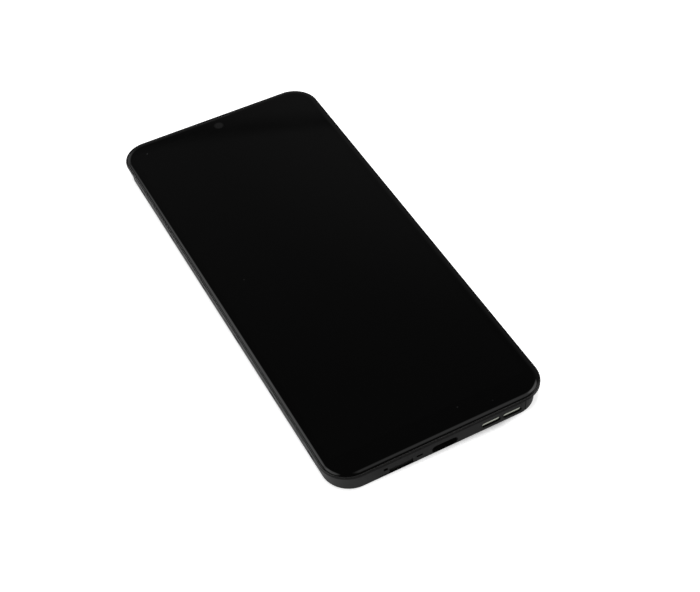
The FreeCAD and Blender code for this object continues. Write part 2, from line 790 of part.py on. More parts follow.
def make_frame_moulding():
    """The moulded frame: rim, wall, ledges, recess, web, ribs, bosses and every opening in them."""
    body = new_body("frame_moulding")
    frame_shell(body)
    plate_seat(body)
    seat_openings(body)
    socket_tunnel(body)
    end_wall_openings(body)
    side_wall_openings(body)
    web_ribs(body)
    screw_bosses(body)
    cable_channels(body)
    cover_catches(body)


def frame_shell(body):
    """Wall block and rim with their rounded edges, then the ledge, the recess and the room below."""
    wall = padded(body, "wall", centred(WALL_X, WALL_Y, s.wall_corner), RIM_FOOT)
    trimmed(body, wall, "Chamfer", s.foot_bevel, lambda edge: on_outline(edge, WALL_X, WALL_Y, as_size(0)))
    rim = padded(body, "rim", centred(HALF_WIDTH, HALF_LENGTH, s.frame_corner), s.rim_face, RIM_FOOT)
    trimmed(body, rim, "Fillet", s.rim_round,
            lambda edge: on_outline(edge, HALF_WIDTH, HALF_LENGTH, RIM_TOP))
    pocketed(body, "glass_seat", centred(SEAT_X, SEAT_Y, SEAT_CORNER), RIM_TOP, RIM_TOP - SEAT)
    recess = rectangle(-RECESS_X, RECESS_X, RECESS_BOTTOM, RECESS_TOP, s.recess_corner)
    pocketed(body, "recess", recess, SEAT, SEAT - PLATE_TOP)
    pocketed(body, "room", centred(ROOM_X, ROOM_Y, ROOM_CORNER), WEB_BOTTOM, WEB_BOTTOM)
    gap = s.module_gap
    half = s.notch_half_width - gap
    turn = s.notch_round - gap
    tower = [
        (-half, NOTCH_FLOOR + gap, turn), (half, NOTCH_FLOOR + gap, turn),
        (half, RECESS_TOP + gap, None), (-half, RECESS_TOP + gap, None),
    ]
    padded(body, "camera_tower", tower, SEAT - PLATE_TOP, PLATE_TOP)


def plate_seat(body):
    """The rebate that holds the mid plate's edge, and the window that shows the plate from behind."""
    pocketed(body, "plate_rebate", plate_outline(as_size(0)), PLATE_TOP, s.plate_thickness)
    pocketed(body, "plate_window", plate_outline(s.plate_lip), PLATE_BOTTOM, s.plate_lip_depth)


def bay_half(side):
    """Corners of one half of the wall round the battery bay, open at the middle for the cables."""
    wide = s.rib_thickness
    gap = s.cable_gap / 2 * side
    inner = (ROOM_X - s.cable_channel) * side
    outer = (ROOM_X - s.cable_channel + wide) * side
    return [
        (gap, BAY_BOTTOM, None), (outer, BAY_BOTTOM, wide * 2), (outer, BAY_TOP, wide * 2),
        (gap, BAY_TOP, None), (gap, BAY_TOP - wide, None), (inner, BAY_TOP - wide, None),
        (inner, BAY_BOTTOM + wide, None), (gap, BAY_BOTTOM + wide, None),
    ]


def rib_frame(sketch, x, y, length, width):
    """A closed rectangular rib about a point, given its outer size."""
    both = s.seat_rib * 2
    outline(sketch, around(x, y, length, width))
    outline(sketch, around(x, y, length - both, width - both))


def web_ribs(body):
    """Bay walls, and the seats of the motor, receiver, rear camera, loudspeaker, socket and jack."""
    ribs = new_sketch(body, "ribs", "XY_Plane", s.rib_foot)
    outline(ribs, bay_half(-1))
    outline(ribs, bay_half(1))

    thin = s.seat_rib
    motor_x = s.motor_from_bosses - BOSS_X
    motor_y = s.motor_from_bottom - HALF_LENGTH
    circle(ribs, motor_x, motor_y, s.motor_radius + thin)
    circle(ribs, motor_x, motor_y, s.motor_radius)
    receiver_x = (s.duct_start + s.duct_end) / 2
    receiver_y = DUCT_BOTTOM - s.duct_margin - s.receiver_depth / 2
    rib_frame(ribs, receiver_x, receiver_y, s.receiver_length, s.receiver_depth)
    rib_frame(ribs, BOSS_X - s.camera_bay_from_bosses, HALF_LENGTH - s.camera_bay_from_top,
              s.camera_bay_length, s.camera_bay_width)

    left = SOUND_START - thin * 2
    right = SOUND_END + thin * 2
    near = s.sound_wall - WALL_Y
    inside = s.sound_room_depth - ROOM_Y
    outline(ribs, [
        (left, near, None), (left, inside, None), (right, inside, None), (right, near, None),
        (right - thin, near, None), (right - thin, inside - thin, None), (left + thin, inside - thin, None),
        (left + thin, near, None),
    ])

    wide = s.rib_thickness
    left = s.socket_place - s.socket_length / 2
    right = s.socket_place + s.socket_length / 2
    wall_y = -ROOM_Y - s.fit_gap
    for start, end, length in (
            (left - wide, left, s.socket_guide), (right, right + wide, s.socket_guide),
            (s.jack_seat_start - wide, s.jack_seat_start, s.jack_cradle_length),
            (s.jack_seat_end, s.jack_seat_end + wide / 2, s.jack_cradle_length)):
        outline(ribs, rectangle(start, end, wall_y, wall_y + length))
    pad(body, ribs, WEB_BOTTOM - s.rib_foot)


def cable_channels(body):
    """Low gussets between the bay walls and the side walls, a row on each side."""
    wide = s.rib_thickness
    inner = ROOM_X - s.cable_channel + wide / 2
    outer = ROOM_X + s.fit_gap
    first = BAY_BOTTOM + wide * 2
    pitch = (BAY_TOP - first - wide * 2) / s.gusset_count
    gussets = new_sketch(body, "gussets", "XY_Plane", s.gusset_foot)
    outline(gussets, rectangle(-outer, -inner, first, first + wide))
    outline(gussets, rectangle(inner, outer, first, first + wide))
    pair = pad(body, gussets, WEB_BOTTOM - s.gusset_foot)
    repeated(body, pair, "Y_Axis", pitch, s.gusset_count)


def boss_places():
    """The eight screw places: two by two at the top end and two by two at the bottom end."""
    far = HALF_LENGTH - s.far_boss_from_end
    rows = (far, HALF_LENGTH - s.near_boss_from_top, s.near_boss_from_bottom - HALF_LENGTH, -far)
    return [(BOSS_X * side, row) for row in rows for side in (-1, 1)]


def screw_bosses(body):
    """A boss for each screw, down from the web, with a blind hole that takes its insert."""
    columns = new_sketch(body, "bosses", "XY_Plane", s.boss_foot)
    holes = new_sketch(body, "insert_holes", "XY_Plane", s.boss_foot + s.insert_length)
    for x, y in boss_places():
        circle(columns, x, y, s.boss_radius)
        circle(holes, x, y, s.insert_radius)
    pad(body, columns, WEB_BOTTOM - s.boss_foot)
    pocket(body, holes, s.insert_length)


def seat_openings(body):
    """Camera hole, earpiece duct, sensor hole and flex slot down through the web, and the sound channel."""
    holes = new_sketch(body, "through_holes", "XY_Plane", SEAT)
    circle(holes, 0, CAMERA_Y, s.camera_hole_radius)
    outline(holes, rectangle(s.duct_start, s.duct_end, DUCT_BOTTOM, DUCT_TOP))
    gap = s.fit_gap * 2
    outline(holes, around(s.sensor_place, SENSOR_Y, s.sensor_length + gap, s.sensor_width + gap))
    outline(holes, around(0, FLEX_SLOT_Y, s.flex_tail_width + s.flex_slot, s.flex_slot * 2))
    pocket(body, holes, SEAT)
    channel = [
        (s.duct_start, DUCT_BOTTOM, None), (s.duct_end, DUCT_BOTTOM, None), (s.duct_end, SLIT_BOTTOM, None),
        (s.slit_half_length, SLIT_BOTTOM, None), (s.slit_half_length, SEAT_Y, None),
        (s.duct_start, SEAT_Y, None),
    ]
    pocketed(body, "sound_channel", channel, SEAT, s.duct_depth)


SOUND_START = BOSS_X - s.sound_slots_from_bosses
SOUND_END = SOUND_START + s.sound_slot_length * 2 + s.sound_slot_bridge


def socket_tunnel(body):
    """The block behind the socket's hole, which guides the plug, and the hole through it and the wall."""
    half = s.socket_length / 2 + s.rib_thickness
    corners = rectangle(s.socket_place - half, s.socket_place + half,
                        -ROOM_Y - s.fit_gap, s.socket_tunnel - ROOM_Y)
    padded(body, "tunnel_block", corners, WEB_BOTTOM)
    hole = new_sketch(body, "socket_hole", "XZ_Plane", WALL_Y)
    stadium(hole, s.socket_place, s.socket_level, s.socket_length, s.socket_height)
    pocket(body, hole, s.wall_thickness + s.socket_tunnel)


def end_wall_openings(body):
    """Sound slots, microphone and tool holes, jack seat, groove and latch slot in the end walls."""
    through = new_sketch(body, "end_openings", "XZ_Plane", WALL_Y)
    step = s.sound_slot_length + s.sound_slot_bridge
    for number in range(2):
        middle = SOUND_START + s.sound_slot_length / 2 + step * number
        stadium(through, middle, s.sound_slot_level, s.sound_slot_length, s.sound_slot_height)
    stadium(through, s.microphone_place, s.microphone_level, s.microphone_length, s.microphone_height)
    outline(through, around(s.tool_hole_place, s.tool_hole_level, s.tool_hole_width, s.tool_hole_height))
    pocket(body, through, s.wall_thickness)

    seat = rectangle(s.jack_seat_start, s.jack_seat_end, s.foot_lip, s.jack_seat_top)
    pocketed(body, "jack_seat", seat, WALL_Y, s.jack_seat_depth, "XZ_Plane")
    slot = rectangle(s.latch_slot_start, s.latch_slot_end, s.foot_lip, s.latch_slot_top)
    pocketed(body, "latch_slot", slot, WALL_Y, s.latch_slot_depth, "XZ_Plane")
    groove = around(WALL_X - s.groove_from_wall, RIM_FOOT / 2, s.groove_width, RIM_FOOT + s.fit_gap)
    pocketed(body, "groove", groove, WALL_Y, s.groove_depth, "XZ_Plane")

    thinned = rectangle(SOUND_START - s.sound_wall, SOUND_END + s.sound_wall,
                        s.sound_wall - WALL_Y, s.fit_gap - ROOM_Y)
    pocketed(body, "thin_sound_wall", thinned, WEB_BOTTOM, WEB_BOTTOM)

    upper_hole = new_sketch(body, "upper_microphone", "XZ_Plane", -ROOM_Y)
    circle(upper_hole, -s.microphone_place, s.microphone_level, s.microphone_height / 2)
    pocket(body, upper_hole, s.wall_thickness)


def side_wall_openings(body):
    """Key windows in the right wall and the card slot in the left wall."""
    keys = new_sketch(body, "key_windows", "YZ_Plane", WALL_X)
    stadium(keys, HALF_LENGTH - s.power_from_top, s.key_level, s.power_length, s.key_height)
    stadium(keys, HALF_LENGTH - s.volume_from_top, s.key_level, s.volume_length, s.key_height)
    pocket(body, keys, s.wall_thickness)
    card = new_sketch(body, "card_slot", "YZ_Plane", -ROOM_X)
    outline(card, around(HALF_LENGTH - s.card_from_top, s.card_level, s.card_length, s.card_height))
    pocket(body, card, s.wall_thickness)


def cover_catches(body):
    """Recesses along both side walls that the rear cover's hooks snap into."""
    catches = new_sketch(body, "catches", "XY_Plane", s.catch_level + s.catch_height / 2)
    half = s.catch_length / 2
    last = HALF_LENGTH - s.catch_from_end
    for side in (-1, 1):
        inner = (WALL_X - s.catch_depth) * side
        outer = (WALL_X + s.fit_gap) * side
        outline(catches, rectangle(inner, outer, -last - half, half - last))
    pair = pocket(body, catches, s.catch_height)
    repeated(body, pair, "Y_Axis", last * 2 / (s.catch_count - 1), s.catch_count)


# Metal parts, sheets and small trim

def make_mid_plate():
    """The metal plate, the frame's stiff middle, with two datum holes."""
    body = new_body("mid_plate", PLATE_BOTTOM)
    padded(body, "plate", plate_outline(as_size(0)), s.plate_thickness)
    holes = new_sketch(body, "datum_holes", "XY_Plane", s.plate_thickness)
    for side in (-1, 1):
        circle(holes, s.datum_place * side, PLATE_END + s.datum_place, s.datum_radius)
    pocket(body, holes, s.plate_thickness)


def make_threaded_inserts():
    """One threaded bush in each boss."""
    body = new_body("threaded_inserts", s.boss_foot)
    bushes = new_sketch(body, "bushes")
    for x, y in boss_places():
        circle(bushes, x, y, s.insert_radius)
        circle(bushes, x, y, s.insert_hole_radius)
    pad(body, bushes, s.insert_length)


def make_cushion():
    """The foam ring that beds the backlight tray on the plate and web, open at the bottom for the flex."""
    body = new_body("display_cushion", PLATE_TOP)
    wide = s.plate_lip * 2
    end = TRAY_END + s.plate_lip
    padded(body, "ring", footed(s.module_gap, end), s.cushion)
    pocketed(body, "window", notched(wide, end + wide), s.cushion, s.cushion)
    half = s.flex_bond_width / 2 + s.plate_lip
    pocketed(body, "flex_way", rectangle(-half, half, ARRAY_END, end + wide * 2), s.cushion, s.cushion)


def make_rear_sheets():
    """Graphite over the neck, two battery tapes with pull tabs, and a row of grounding pads."""
    margin = s.plate_lip + s.graphite_margin
    graphite = new_body("graphite_sheet", PLATE_BOTTOM - s.graphite_thickness)
    graphite_x = PLATE_NECK - margin
    corners = rectangle(-graphite_x, graphite_x, BAY_TOP + s.graphite_margin, PLATE_HEAD - margin, s.plate_round)
    padded(graphite, "sheet", corners, s.graphite_thickness)

    for side, name in ((-1, "left"), (1, "right")):
        tape = new_body(f"battery_tape_{name}", PLATE_BOTTOM - s.battery_tape_thickness)
        middle = PLATE_X / 2 * side
        top = BAY_TOP - s.plate_lip * 2 - s.rib_thickness
        bottom = top - (BAY_TOP - BAY_BOTTOM - s.battery_tape_margin)
        half = s.battery_tape_width / 2
        tab = s.battery_tab_width / 2
        end = bottom - s.battery_tab_length
        corners = [
            (middle - tab, end, None), (middle + tab, end, None),
            (middle + tab, bottom, None), (middle + half, bottom, None), (middle + half, top, None),
            (middle - half, top, None), (middle - half, bottom, None), (middle - tab, bottom, None),
        ]
        padded(tape, "strip", corners, s.battery_tape_thickness)

    pads = new_body("ground_pads", PLATE_BOTTOM - s.graphite_thickness - s.pad_height)
    sketch = new_sketch(pads, "pads")
    middle = (BAY_TOP + PLATE_HEAD) / 2
    step_x = graphite_x * 2 / 3
    step_y = (PLATE_HEAD - BAY_TOP) / 4
    for column in (-1, 0, 1):
        for row in (-1, 1):
            outline(sketch, around(step_x * column, middle + step_y * row, s.pad_length, s.pad_width))
    pad(pads, sketch, s.pad_height)


def make_top_end_trim():
    """Camera gasket, earpiece mesh and sensor boot, each seated on the ledge under the glass."""
    gasket = new_body("camera_gasket", SEAT)
    ring = new_sketch(gasket, "ring")
    circle(ring, 0, CAMERA_Y, s.gasket_radius)
    circle(ring, 0, CAMERA_Y, s.camera_hole_radius)
    pad(gasket, ring, s.glass_tape)

    mesh = new_body("earpiece_mesh", GLASS_BOTTOM - s.mesh_thickness)
    half = s.slit_half_length - s.film_gap
    padded(mesh, "sheet", rectangle(-half, half, SLIT_BOTTOM - s.film_gap, SEAT_Y - s.film_gap),
           s.mesh_thickness)

    boot = new_body("sensor_boot", WEB_BOTTOM - s.sensor_drop)
    height = GLASS_BOTTOM - WEB_BOTTOM + s.sensor_drop
    padded(boot, "boot", around(s.sensor_place, SENSOR_Y, s.sensor_length, s.sensor_width), height)
    bore = around(s.sensor_place, SENSOR_Y, s.sensor_length - s.sensor_wall * 2,
                  s.sensor_width - s.sensor_wall * 2)
    pocketed(boot, "light_way", bore, height, height)


def make_microphone_meshes():
    """A small mesh over each microphone hole, on the wall's inner face."""
    width = s.microphone_length + s.microphone_height
    tall = s.microphone_height * 2.5
    lower = new_body("lower_microphone_mesh")
    sketch = new_sketch(lower, "sheet", "XZ_Plane", ROOM_Y - s.mesh_thickness)
    outline(sketch, around(s.microphone_place, s.microphone_level, width, tall))
    pad(lower, sketch, s.mesh_thickness)
    upper = new_body("upper_microphone_mesh")
    sketch = new_sketch(upper, "sheet", "XZ_Plane", -ROOM_Y)
    outline(sketch, around(-s.microphone_place, s.microphone_level, tall, tall))
    pad(upper, sketch, s.mesh_thickness)


def check_model():
    """Every object is up to date, every body is one valid shape, and every pocket removed material."""
    for item in doc.Objects:
        if "Invalid" in item.State or "Error" in item.State:
            raise RuntimeError(f"{item.Name} failed: {item.State}")
    for item in doc.Objects:
        if item.TypeId == "PartDesign::Pocket":
            before = item.BaseFeature.Shape.Volume
            after = item.Shape.Volume
            if after >= before:
                raise RuntimeError(f"{item.Name} removed nothing")
        if item.TypeId == "PartDesign::Body" and (item.Shape.isNull() or not item.Shape.isValid()):
            raise RuntimeError(f"{item.Label} is not a valid shape")


def write_parts():
    """One STEP file for each sub-part, named after it."""
    os.makedirs("parts", exist_ok=True)
    for item in doc.Objects:
        if item.TypeId == "PartDesign::Body":
            item.Shape.exportStep(f"parts/{item.Label}.step")
            print(item.Label, len(item.Shape.Solids), round(item.Shape.Volume, 2))


make_cover_glass()
make_glass_tape()
make_panel()
make_backlight()
make_display_flex()
make_frame_moulding()
make_mid_plate()
make_threaded_inserts()
make_cushion()
make_rear_sheets()
make_top_end_trim()
make_microphone_meshes()
doc.recompute()
check_model()
write_parts()
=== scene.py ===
import json
import math

import bpy
import numpy as np
from mathutils import Matrix, Vector


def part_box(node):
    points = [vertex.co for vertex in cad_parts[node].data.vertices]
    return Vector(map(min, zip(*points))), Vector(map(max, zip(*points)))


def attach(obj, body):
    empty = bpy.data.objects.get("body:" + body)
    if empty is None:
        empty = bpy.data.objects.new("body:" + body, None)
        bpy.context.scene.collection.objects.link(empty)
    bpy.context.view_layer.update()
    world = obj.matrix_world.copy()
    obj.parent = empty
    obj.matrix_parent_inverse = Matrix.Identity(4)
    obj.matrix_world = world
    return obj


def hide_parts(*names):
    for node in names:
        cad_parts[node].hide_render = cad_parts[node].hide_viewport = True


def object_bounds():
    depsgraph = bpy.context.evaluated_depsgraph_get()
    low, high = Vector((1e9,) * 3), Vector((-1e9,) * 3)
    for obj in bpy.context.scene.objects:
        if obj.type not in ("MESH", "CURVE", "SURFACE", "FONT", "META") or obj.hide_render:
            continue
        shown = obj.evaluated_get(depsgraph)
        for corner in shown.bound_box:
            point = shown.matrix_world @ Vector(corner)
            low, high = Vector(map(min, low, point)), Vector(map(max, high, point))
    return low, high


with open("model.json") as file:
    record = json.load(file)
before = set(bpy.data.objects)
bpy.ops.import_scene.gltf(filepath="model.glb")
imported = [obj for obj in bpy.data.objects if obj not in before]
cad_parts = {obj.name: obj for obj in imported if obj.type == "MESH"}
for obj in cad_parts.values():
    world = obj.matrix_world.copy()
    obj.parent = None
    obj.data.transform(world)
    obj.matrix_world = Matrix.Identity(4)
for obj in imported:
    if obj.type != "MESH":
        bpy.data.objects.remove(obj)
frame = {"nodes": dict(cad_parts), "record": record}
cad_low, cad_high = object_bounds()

# A phone display bonded in its open-backed frame, lying face up on a white table.
# Metres, in the frame of the solids: X across the width, +Y to the front camera end, +Z out of the glass.

MM = 0.001

# Cover glass: how its front edge curves down, and the earpiece slit ground into its top edge
GLASS_CORNER = 8.88 * MM
EDGE_CURVE_WIDTH = 1.7 * MM
EDGE_CURVE_DROP = 0.42 * MM
EDGE_ARRIS = 0.08 * MM
EDGE_ROUND = 0.05 * MM
SLIT_HALF_LENGTH = 6.0 * MM
SLIT_DEPTH = 0.5 * MM
SLIT_END_ROUND = 0.3 * MM

# Its points: steps down the curve and round a corner, rings on the flat past the curve, and runs of places
# along the top edge in millimetres (from, to, how many), which are closest at the slit's ends
CURVE_STEPS = 24
CORNER_STEPS = 33
FLAT_RINGS = np.array([0.3, 0.8]) * MM
TOP_EDGE_RUNS = ((20.0, 7.0, 6), (6.5, 5.5, 21), (5.0, -5.0, 11), (-5.5, -6.5, 21), (-7.0, -20.0, 6))

# A point belongs to the top edge where the Y of its outward direction is more than this
FACING_TOP = 0.999

# The middle point of the rounding between side and curve, as shares of EDGE_ROUND
ROUND_IN = 0.3
ROUND_DOWN = 0.1

# What shows in the glass's black print: the front camera's window, and the display's own area
FRONT_CAMERA = (-0.3 * MM, 78.2 * MM)
WINDOW_RADIUS = 1.6 * MM
WINDOW_FADE = 0.7 * MM
SCREEN_LOW = (-34.1 * MM, -74.6 * MM)
SCREEN_HIGH = (34.1 * MM, 78.2 * MM)
PRINT_LEVEL = 0.0002
SCREEN_LEVEL = 0.0004
WINDOW_LEVEL = 0.0090

# Specks of dust on the glass: place and radius in millimetres, and how plainly each shows
DUST_SPECKS = (
    (-29.2, 77.0, 0.19, 0.16),
    (-25.2, 3.4, 0.14, 0.08),
    (8.5, -76.4, 0.15, 0.08),
    (19.1, -79.4, 0.13, 0.05),
)
SPECK_FADE = 0.3 * MM
SPECK_LEVEL = 0.25

# The glass's roughness where it is clear and where it is hazed, and how many clouds of haze go to the metre
GLASS_ROUGHNESS = (0.02, 0.05)
HAZE_CLOUDS = 90.0

# Threaded bushes: a metric thread of fine pitch in each, and how many points go round and up it
THREAD_PITCH = 0.3 * MM
THREAD_DEPTH = 0.12 * MM
BUSH_CHAMFER = 0.15 * MM
KNURL_COUNT = 24
KNURL_DEPTH = 0.05 * MM
BUSH_STEPS = 48
THREAD_LEVELS = 57

# Edges that turn by more than these angles, in degrees, stay sharp. Points nearer than the weld are joined
SOLID_SHARP = 32.0
GLASS_SHARP = 50.0
THREAD_SHARP = 35.0
WELD = 0.0005 * MM

# Satin lacquer on the frame, and the band under the rim where it is thinned, as painted shade of the overhang
LACQUER = 1.0
LACQUER_IN_PAINTED_SHADE = 0.12
SHADE_BAND_LOW = 4.8 * MM
SHADE_BAND_HIGH = 7.1 * MM
SHADE_BAND_FADE = 0.5 * MM

# The frame's two shades and roughness under the lacquer, the radius of its small edges, its grain's height,
# and how plainly the dust shows on it
FRAME_DARK = (0.0056, 0.0056, 0.0053)
FRAME_PALE = (0.0072, 0.0069, 0.0069)
FRAME_ROUGHNESS = (0.38, 0.48)
FRAME_EDGE = 0.12 * MM
FRAME_GRAIN = 0.006 * MM
FRAME_DUST = 0.15
FRAME_DUST_LEVEL = 0.12

# Spans here and below are the parts of a noise's or wave's range over which something comes in or goes out.
# A soft noise keeps mostly to this one
NOISE_SPAN = (0.3, 0.7)

# Moulded grain: how many flow marks go to the metre, and their height against the grain's
FLOW_MARKS = 60.0
FLOW_HEIGHT = 0.4

# Rolled lines: the squeeze along X that draws them out, and their share in the tone against the clouds'
LINE_SQUEEZE = 0.02
LINE_SHARE = 0.5
LINE_SPAN = (0.35, 0.65)

# Plain weave: where its holes show, and how far the upper thread stands over the lower one
HOLE_SPAN = (0.3, 0.6)
THREAD_RAISE = 0.3

# Settled dust: the slow noise that it lies in, the levels where flecks begin for the amounts 0 and 1, and how
# fast they come in from there
DUST_BED = 45.0
DUST_BED_SPAN = (0.42, 0.6)
DUST_START = (0.86, 0.66)
DUST_GAIN = 14.0

# How far a surface's roughness swings with its marks: by so much, or for films by a share of itself, with so
# many clouds to the metre. Between the threads of a weave it has a value of its own
GRAIN_SWING = 0.06
METAL_DULLED = 0.08
METAL_POLISHED = 0.06
FILM_SWING = 0.3
FILM_CLOUDS = 120.0
HOLE_ROUGHNESS = 0.9

# The flexible circuit's tracks and their wandering, the light guide's dots, and how high the threads of a
# weave stand against their pitch
TRACK_PITCH = 0.45 * MM
TRACK_DRIFT = 1.2 * MM
DOT_PITCH = 0.5 * MM
WEAVE_DEPTH = 0.3

# Camera: fitted to the straight edges of the photograph. Angles in degrees, lens and sensor in millimetres
CAMERA_POSITION = (-132.516 * MM, -292.967 * MM, 341.371 * MM)
CAMERA_AZIMUTH = -26.210
CAMERA_ELEVATION = 47.650
CAMERA_ROLL = -2.589
CAMERA_LENS = 71.45
SENSOR_WIDTH = 36.0

# The lamp, and the even light of the room
KEY_POSITION = (-0.25, -0.15, 2.55)
KEY_SIZE = 0.90
KEY_POWER = 44.0
ROOM_LEVEL = 0.35

# Floor: its paint, and how far it is lifted for the camera. In front of the bottom edge the lift is smaller:
# that begins where -Y - NEAR_SLANT X passes through NEAR_FADE, and ends where X passes through NEAR_SIDE_FADE
FLOOR_HALF = 4.0
FLOOR_WHITE = 0.90
FLOOR_LIFT = 0.66
FLOOR_LIFT_NEAR = 0.28
NEAR_FADE = (74.0 * MM, 90.0 * MM)
NEAR_SLANT = -0.35
NEAR_SIDE_FADE = (20.0 * MM, 29.0 * MM)

# Floor under the frame, seen through the sound slots: its painted glow's level and tint, the outline's inset
# and corners
FLOOR_UNDER_GLOW = 0.31
UNDER_GLOW_TINT = (0.96, 1.0, 0.86)
UNDER_INSET = 2.5 * MM
UNDER_CORNER = 8.0 * MM

# Floor as the frame mirrors it: its level to the left of the frame, and from FLOOR_TURN inside the left edge
FLOOR_MIRRORED_LEFT = 0.40
FLOOR_MIRRORED = 0.185
FLOOR_TURN = 17.0 * MM

# Soft panels of the studio, as the glass mirrors them, in degrees: bearing clockwise from +Y, height above
# the table, half angles of the full and of the fading part; then the level
PANELS = (
    (-22.0, 50.0, 3.0, 13.0, 1.3),
    (-38.0, 61.0, 2.0, 10.5, 0.8),
    (-12.5, 26.5, 6.0, 19.0, 0.45),
    (-64.0, 66.0, 3.0, 16.0, 1.1),
    (85.7, 66.3, 2.0, 17.7, 0.62),
    (80.0, 50.5, 4.0, 14.0, 1.45),
    (110.0, 14.0, 12.0, 28.0, 2.4),
    (33.0, 37.0, 0.0, 12.0, 0.026),
    (-53.0, 13.0, 12.0, 24.5, 6.0),
)

# The studio behind them: its level low down and overhead, and the heights on a unit sphere between which the
# one turns into the other
STUDIO_LOW = 0.114
STUDIO_OVERHEAD = 0.046
STUDIO_TURN = (0.5, 0.78)

# The seam between the studio's wall and ceiling, a faint dark line in the glass, as heights on a unit sphere
SEAM_BELOW = 0.6416
SEAM = 0.6491
SEAM_ABOVE = 0.6540
SEAM_LEVEL = -0.040


# Node building

def add_node(tree, kind, inputs=None, **settings):
    """A shader node; each input is linked where a socket is given, and set where a value is given."""
    made = tree.nodes.new("ShaderNode" + kind)
    for name, value in settings.items():
        setattr(made, name, value)
    for name, value in (inputs or {}).items():
        if isinstance(value, bpy.types.NodeSocket):
            join(tree, value, made.inputs[name])
        else:
            made.inputs[name].default_value = value
    return made


def join(tree, value, socket):
    """Links an output to an input."""
    tree.links.new(value, socket)


def calculate(tree, operation, *values, clamp=False):
    """One operation on sockets and plain values."""
    made = add_node(tree, "Math", dict(enumerate(values)), operation=operation, use_clamp=clamp)
    return made.outputs[0]


def plus(tree, first, second):
    """The sum of two values."""
    return calculate(tree, "ADD", first, second)


def minus(tree, first, second):
    """The first value less the second."""
    return calculate(tree, "SUBTRACT", first, second)


def times(tree, first, second):
    """The product of two values."""
    return calculate(tree, "MULTIPLY", first, second)


def turned_into(tree, share, first, second):
    """One value turning into another as the share goes from 0 to 1."""
    return plus(tree, first, times(tree, share, minus(tree, second, first)))


def ramp(tree, value, low, high, from_low=0.0, from_high=1.0, kind="LINEAR"):
    """A value carried from one range to another and held at its ends."""
    sockets = {"Value": value, "From Min": from_low, "From Max": from_high, "To Min": low, "To Max": high}
    return add_node(tree, "MapRange", sockets, interpolation_type=kind).outputs[0]


def rise(tree, value, low, high):
    """0 up to the low value, 1 from the high one on."""
    return ramp(tree, value, 0.0, 1.0, low, high)


def fall(tree, value, low, high):
    """1 up to the low value, 0 from the high one on."""
    return ramp(tree, value, 1.0, 0.0, low, high)


def blend(tree, share, first, second):
    """One colour turning into another as the share goes from 0 to 1."""
    made = add_node(tree, "Mix", {0: share, 6: first, 7: second}, data_type="RGBA")
    return made.outputs[2]


def noise(tree, place, scale, detail=2.0, roughness=0.5):
    """Soft noise between 0 and 1, with so many cells to the metre."""
    sockets = {"Vector": place, "Scale": scale, "Detail": detail, "Roughness": roughness}
    return add_node(tree, "TexNoise", sockets).outputs["Fac"]


def own_place(tree):
    """The place of a point in the object's own metres."""
    return add_node(tree, "TexCoord").outputs["Object"]


def split_place(tree):
    """The same place as separate X, Y and Z."""
    return add_node(tree, "SeparateXYZ", {0: own_place(tree)}).outputs


def stretched(tree, place, x, y, z):
    """The same place with each axis scaled by its own amount."""
    return add_node(tree, "VectorMath", {0: place, 1: (x, y, z)}, operation="MULTIPLY").outputs[0]


def bump(tree, height, distance, strength=1.0):
    """A normal tilted by a height that is given in metres at full strength."""
    sockets = {"Height": height, "Distance": distance, "Strength": strength}
    return add_node(tree, "Bump", sockets).outputs[0]


def grey(level):
    """An even grey of one level."""
    return (level, level, level, 1.0)


def colour(red, green, blue):
    """An opaque colour."""
    return (red, green, blue, 1.0)


def new_group(name, inputs, outputs):
    """An empty effect with named inputs, given as label, kind and value, and named outputs."""
    tree = bpy.data.node_groups.new(name, "ShaderNodeTree")
    for label, kind, value in inputs:
        socket = tree.interface.new_socket(label, in_out="INPUT", socket_type="NodeSocket" + kind)
        socket.default_value = value
    for label, kind in outputs:
        tree.interface.new_socket(label, in_out="OUTPUT", socket_type="NodeSocket" + kind)
    return tree, tree.nodes.new("NodeGroupInput").outputs, tree.nodes.new("NodeGroupOutput").inputs


def placed(tree, group, **inputs):
    """The outputs of a shared effect, placed in a material with values of its own."""
    made = tree.nodes.new("ShaderNodeGroup")
    made.node_tree = group
    for name, value in inputs.items():
        made.inputs[name].default_value = value
    return made.outputs


# Shared effects

def make_moulded_grain():
    """Fine spark-eroded grain over slow flow marks, as on moulded plastic."""
    tree, given, wanted = new_group(
        "moulded_grain", [("Grain", "Float", 6000.0), ("Flow", "Float", FLOW_MARKS)],
        [("Height", "Float"), ("Tone", "Float")])
    place = own_place(tree)
    fine = noise(tree, place, given["Grain"], detail=3.0, roughness=0.6)
    slow = noise(tree, place, given["Flow"])
    join(tree, plus(tree, fine, times(tree, slow, FLOW_HEIGHT)), wanted["Height"])
    join(tree, rise(tree, slow, *NOISE_SPAN), wanted["Tone"])
    return tree


def make_rolled_lines():
    """Long fine lines along X, as rolling and brushing leave on sheet metal."""
    tree, given, wanted = new_group(
        "rolled_lines", [("Lines", "Float", 3000.0), ("Cloud", "Float", 80.0)],
        [("Height", "Float"), ("Tone", "Float")])
    place = own_place(tree)
    drawn_out = stretched(tree, place, LINE_SQUEEZE, 1.0, 1.0)
    lines = noise(tree, drawn_out, given["Lines"], detail=4.0, roughness=0.65)
    cloud = noise(tree, place, given["Cloud"], detail=3.0, roughness=0.6)
    join(tree, lines, wanted["Height"])
    both = plus(tree, times(tree, lines, LINE_SHARE), times(tree, cloud, 1.0 - LINE_SHARE))
    join(tree, rise(tree, both, *LINE_SPAN), wanted["Tone"])
    return tree


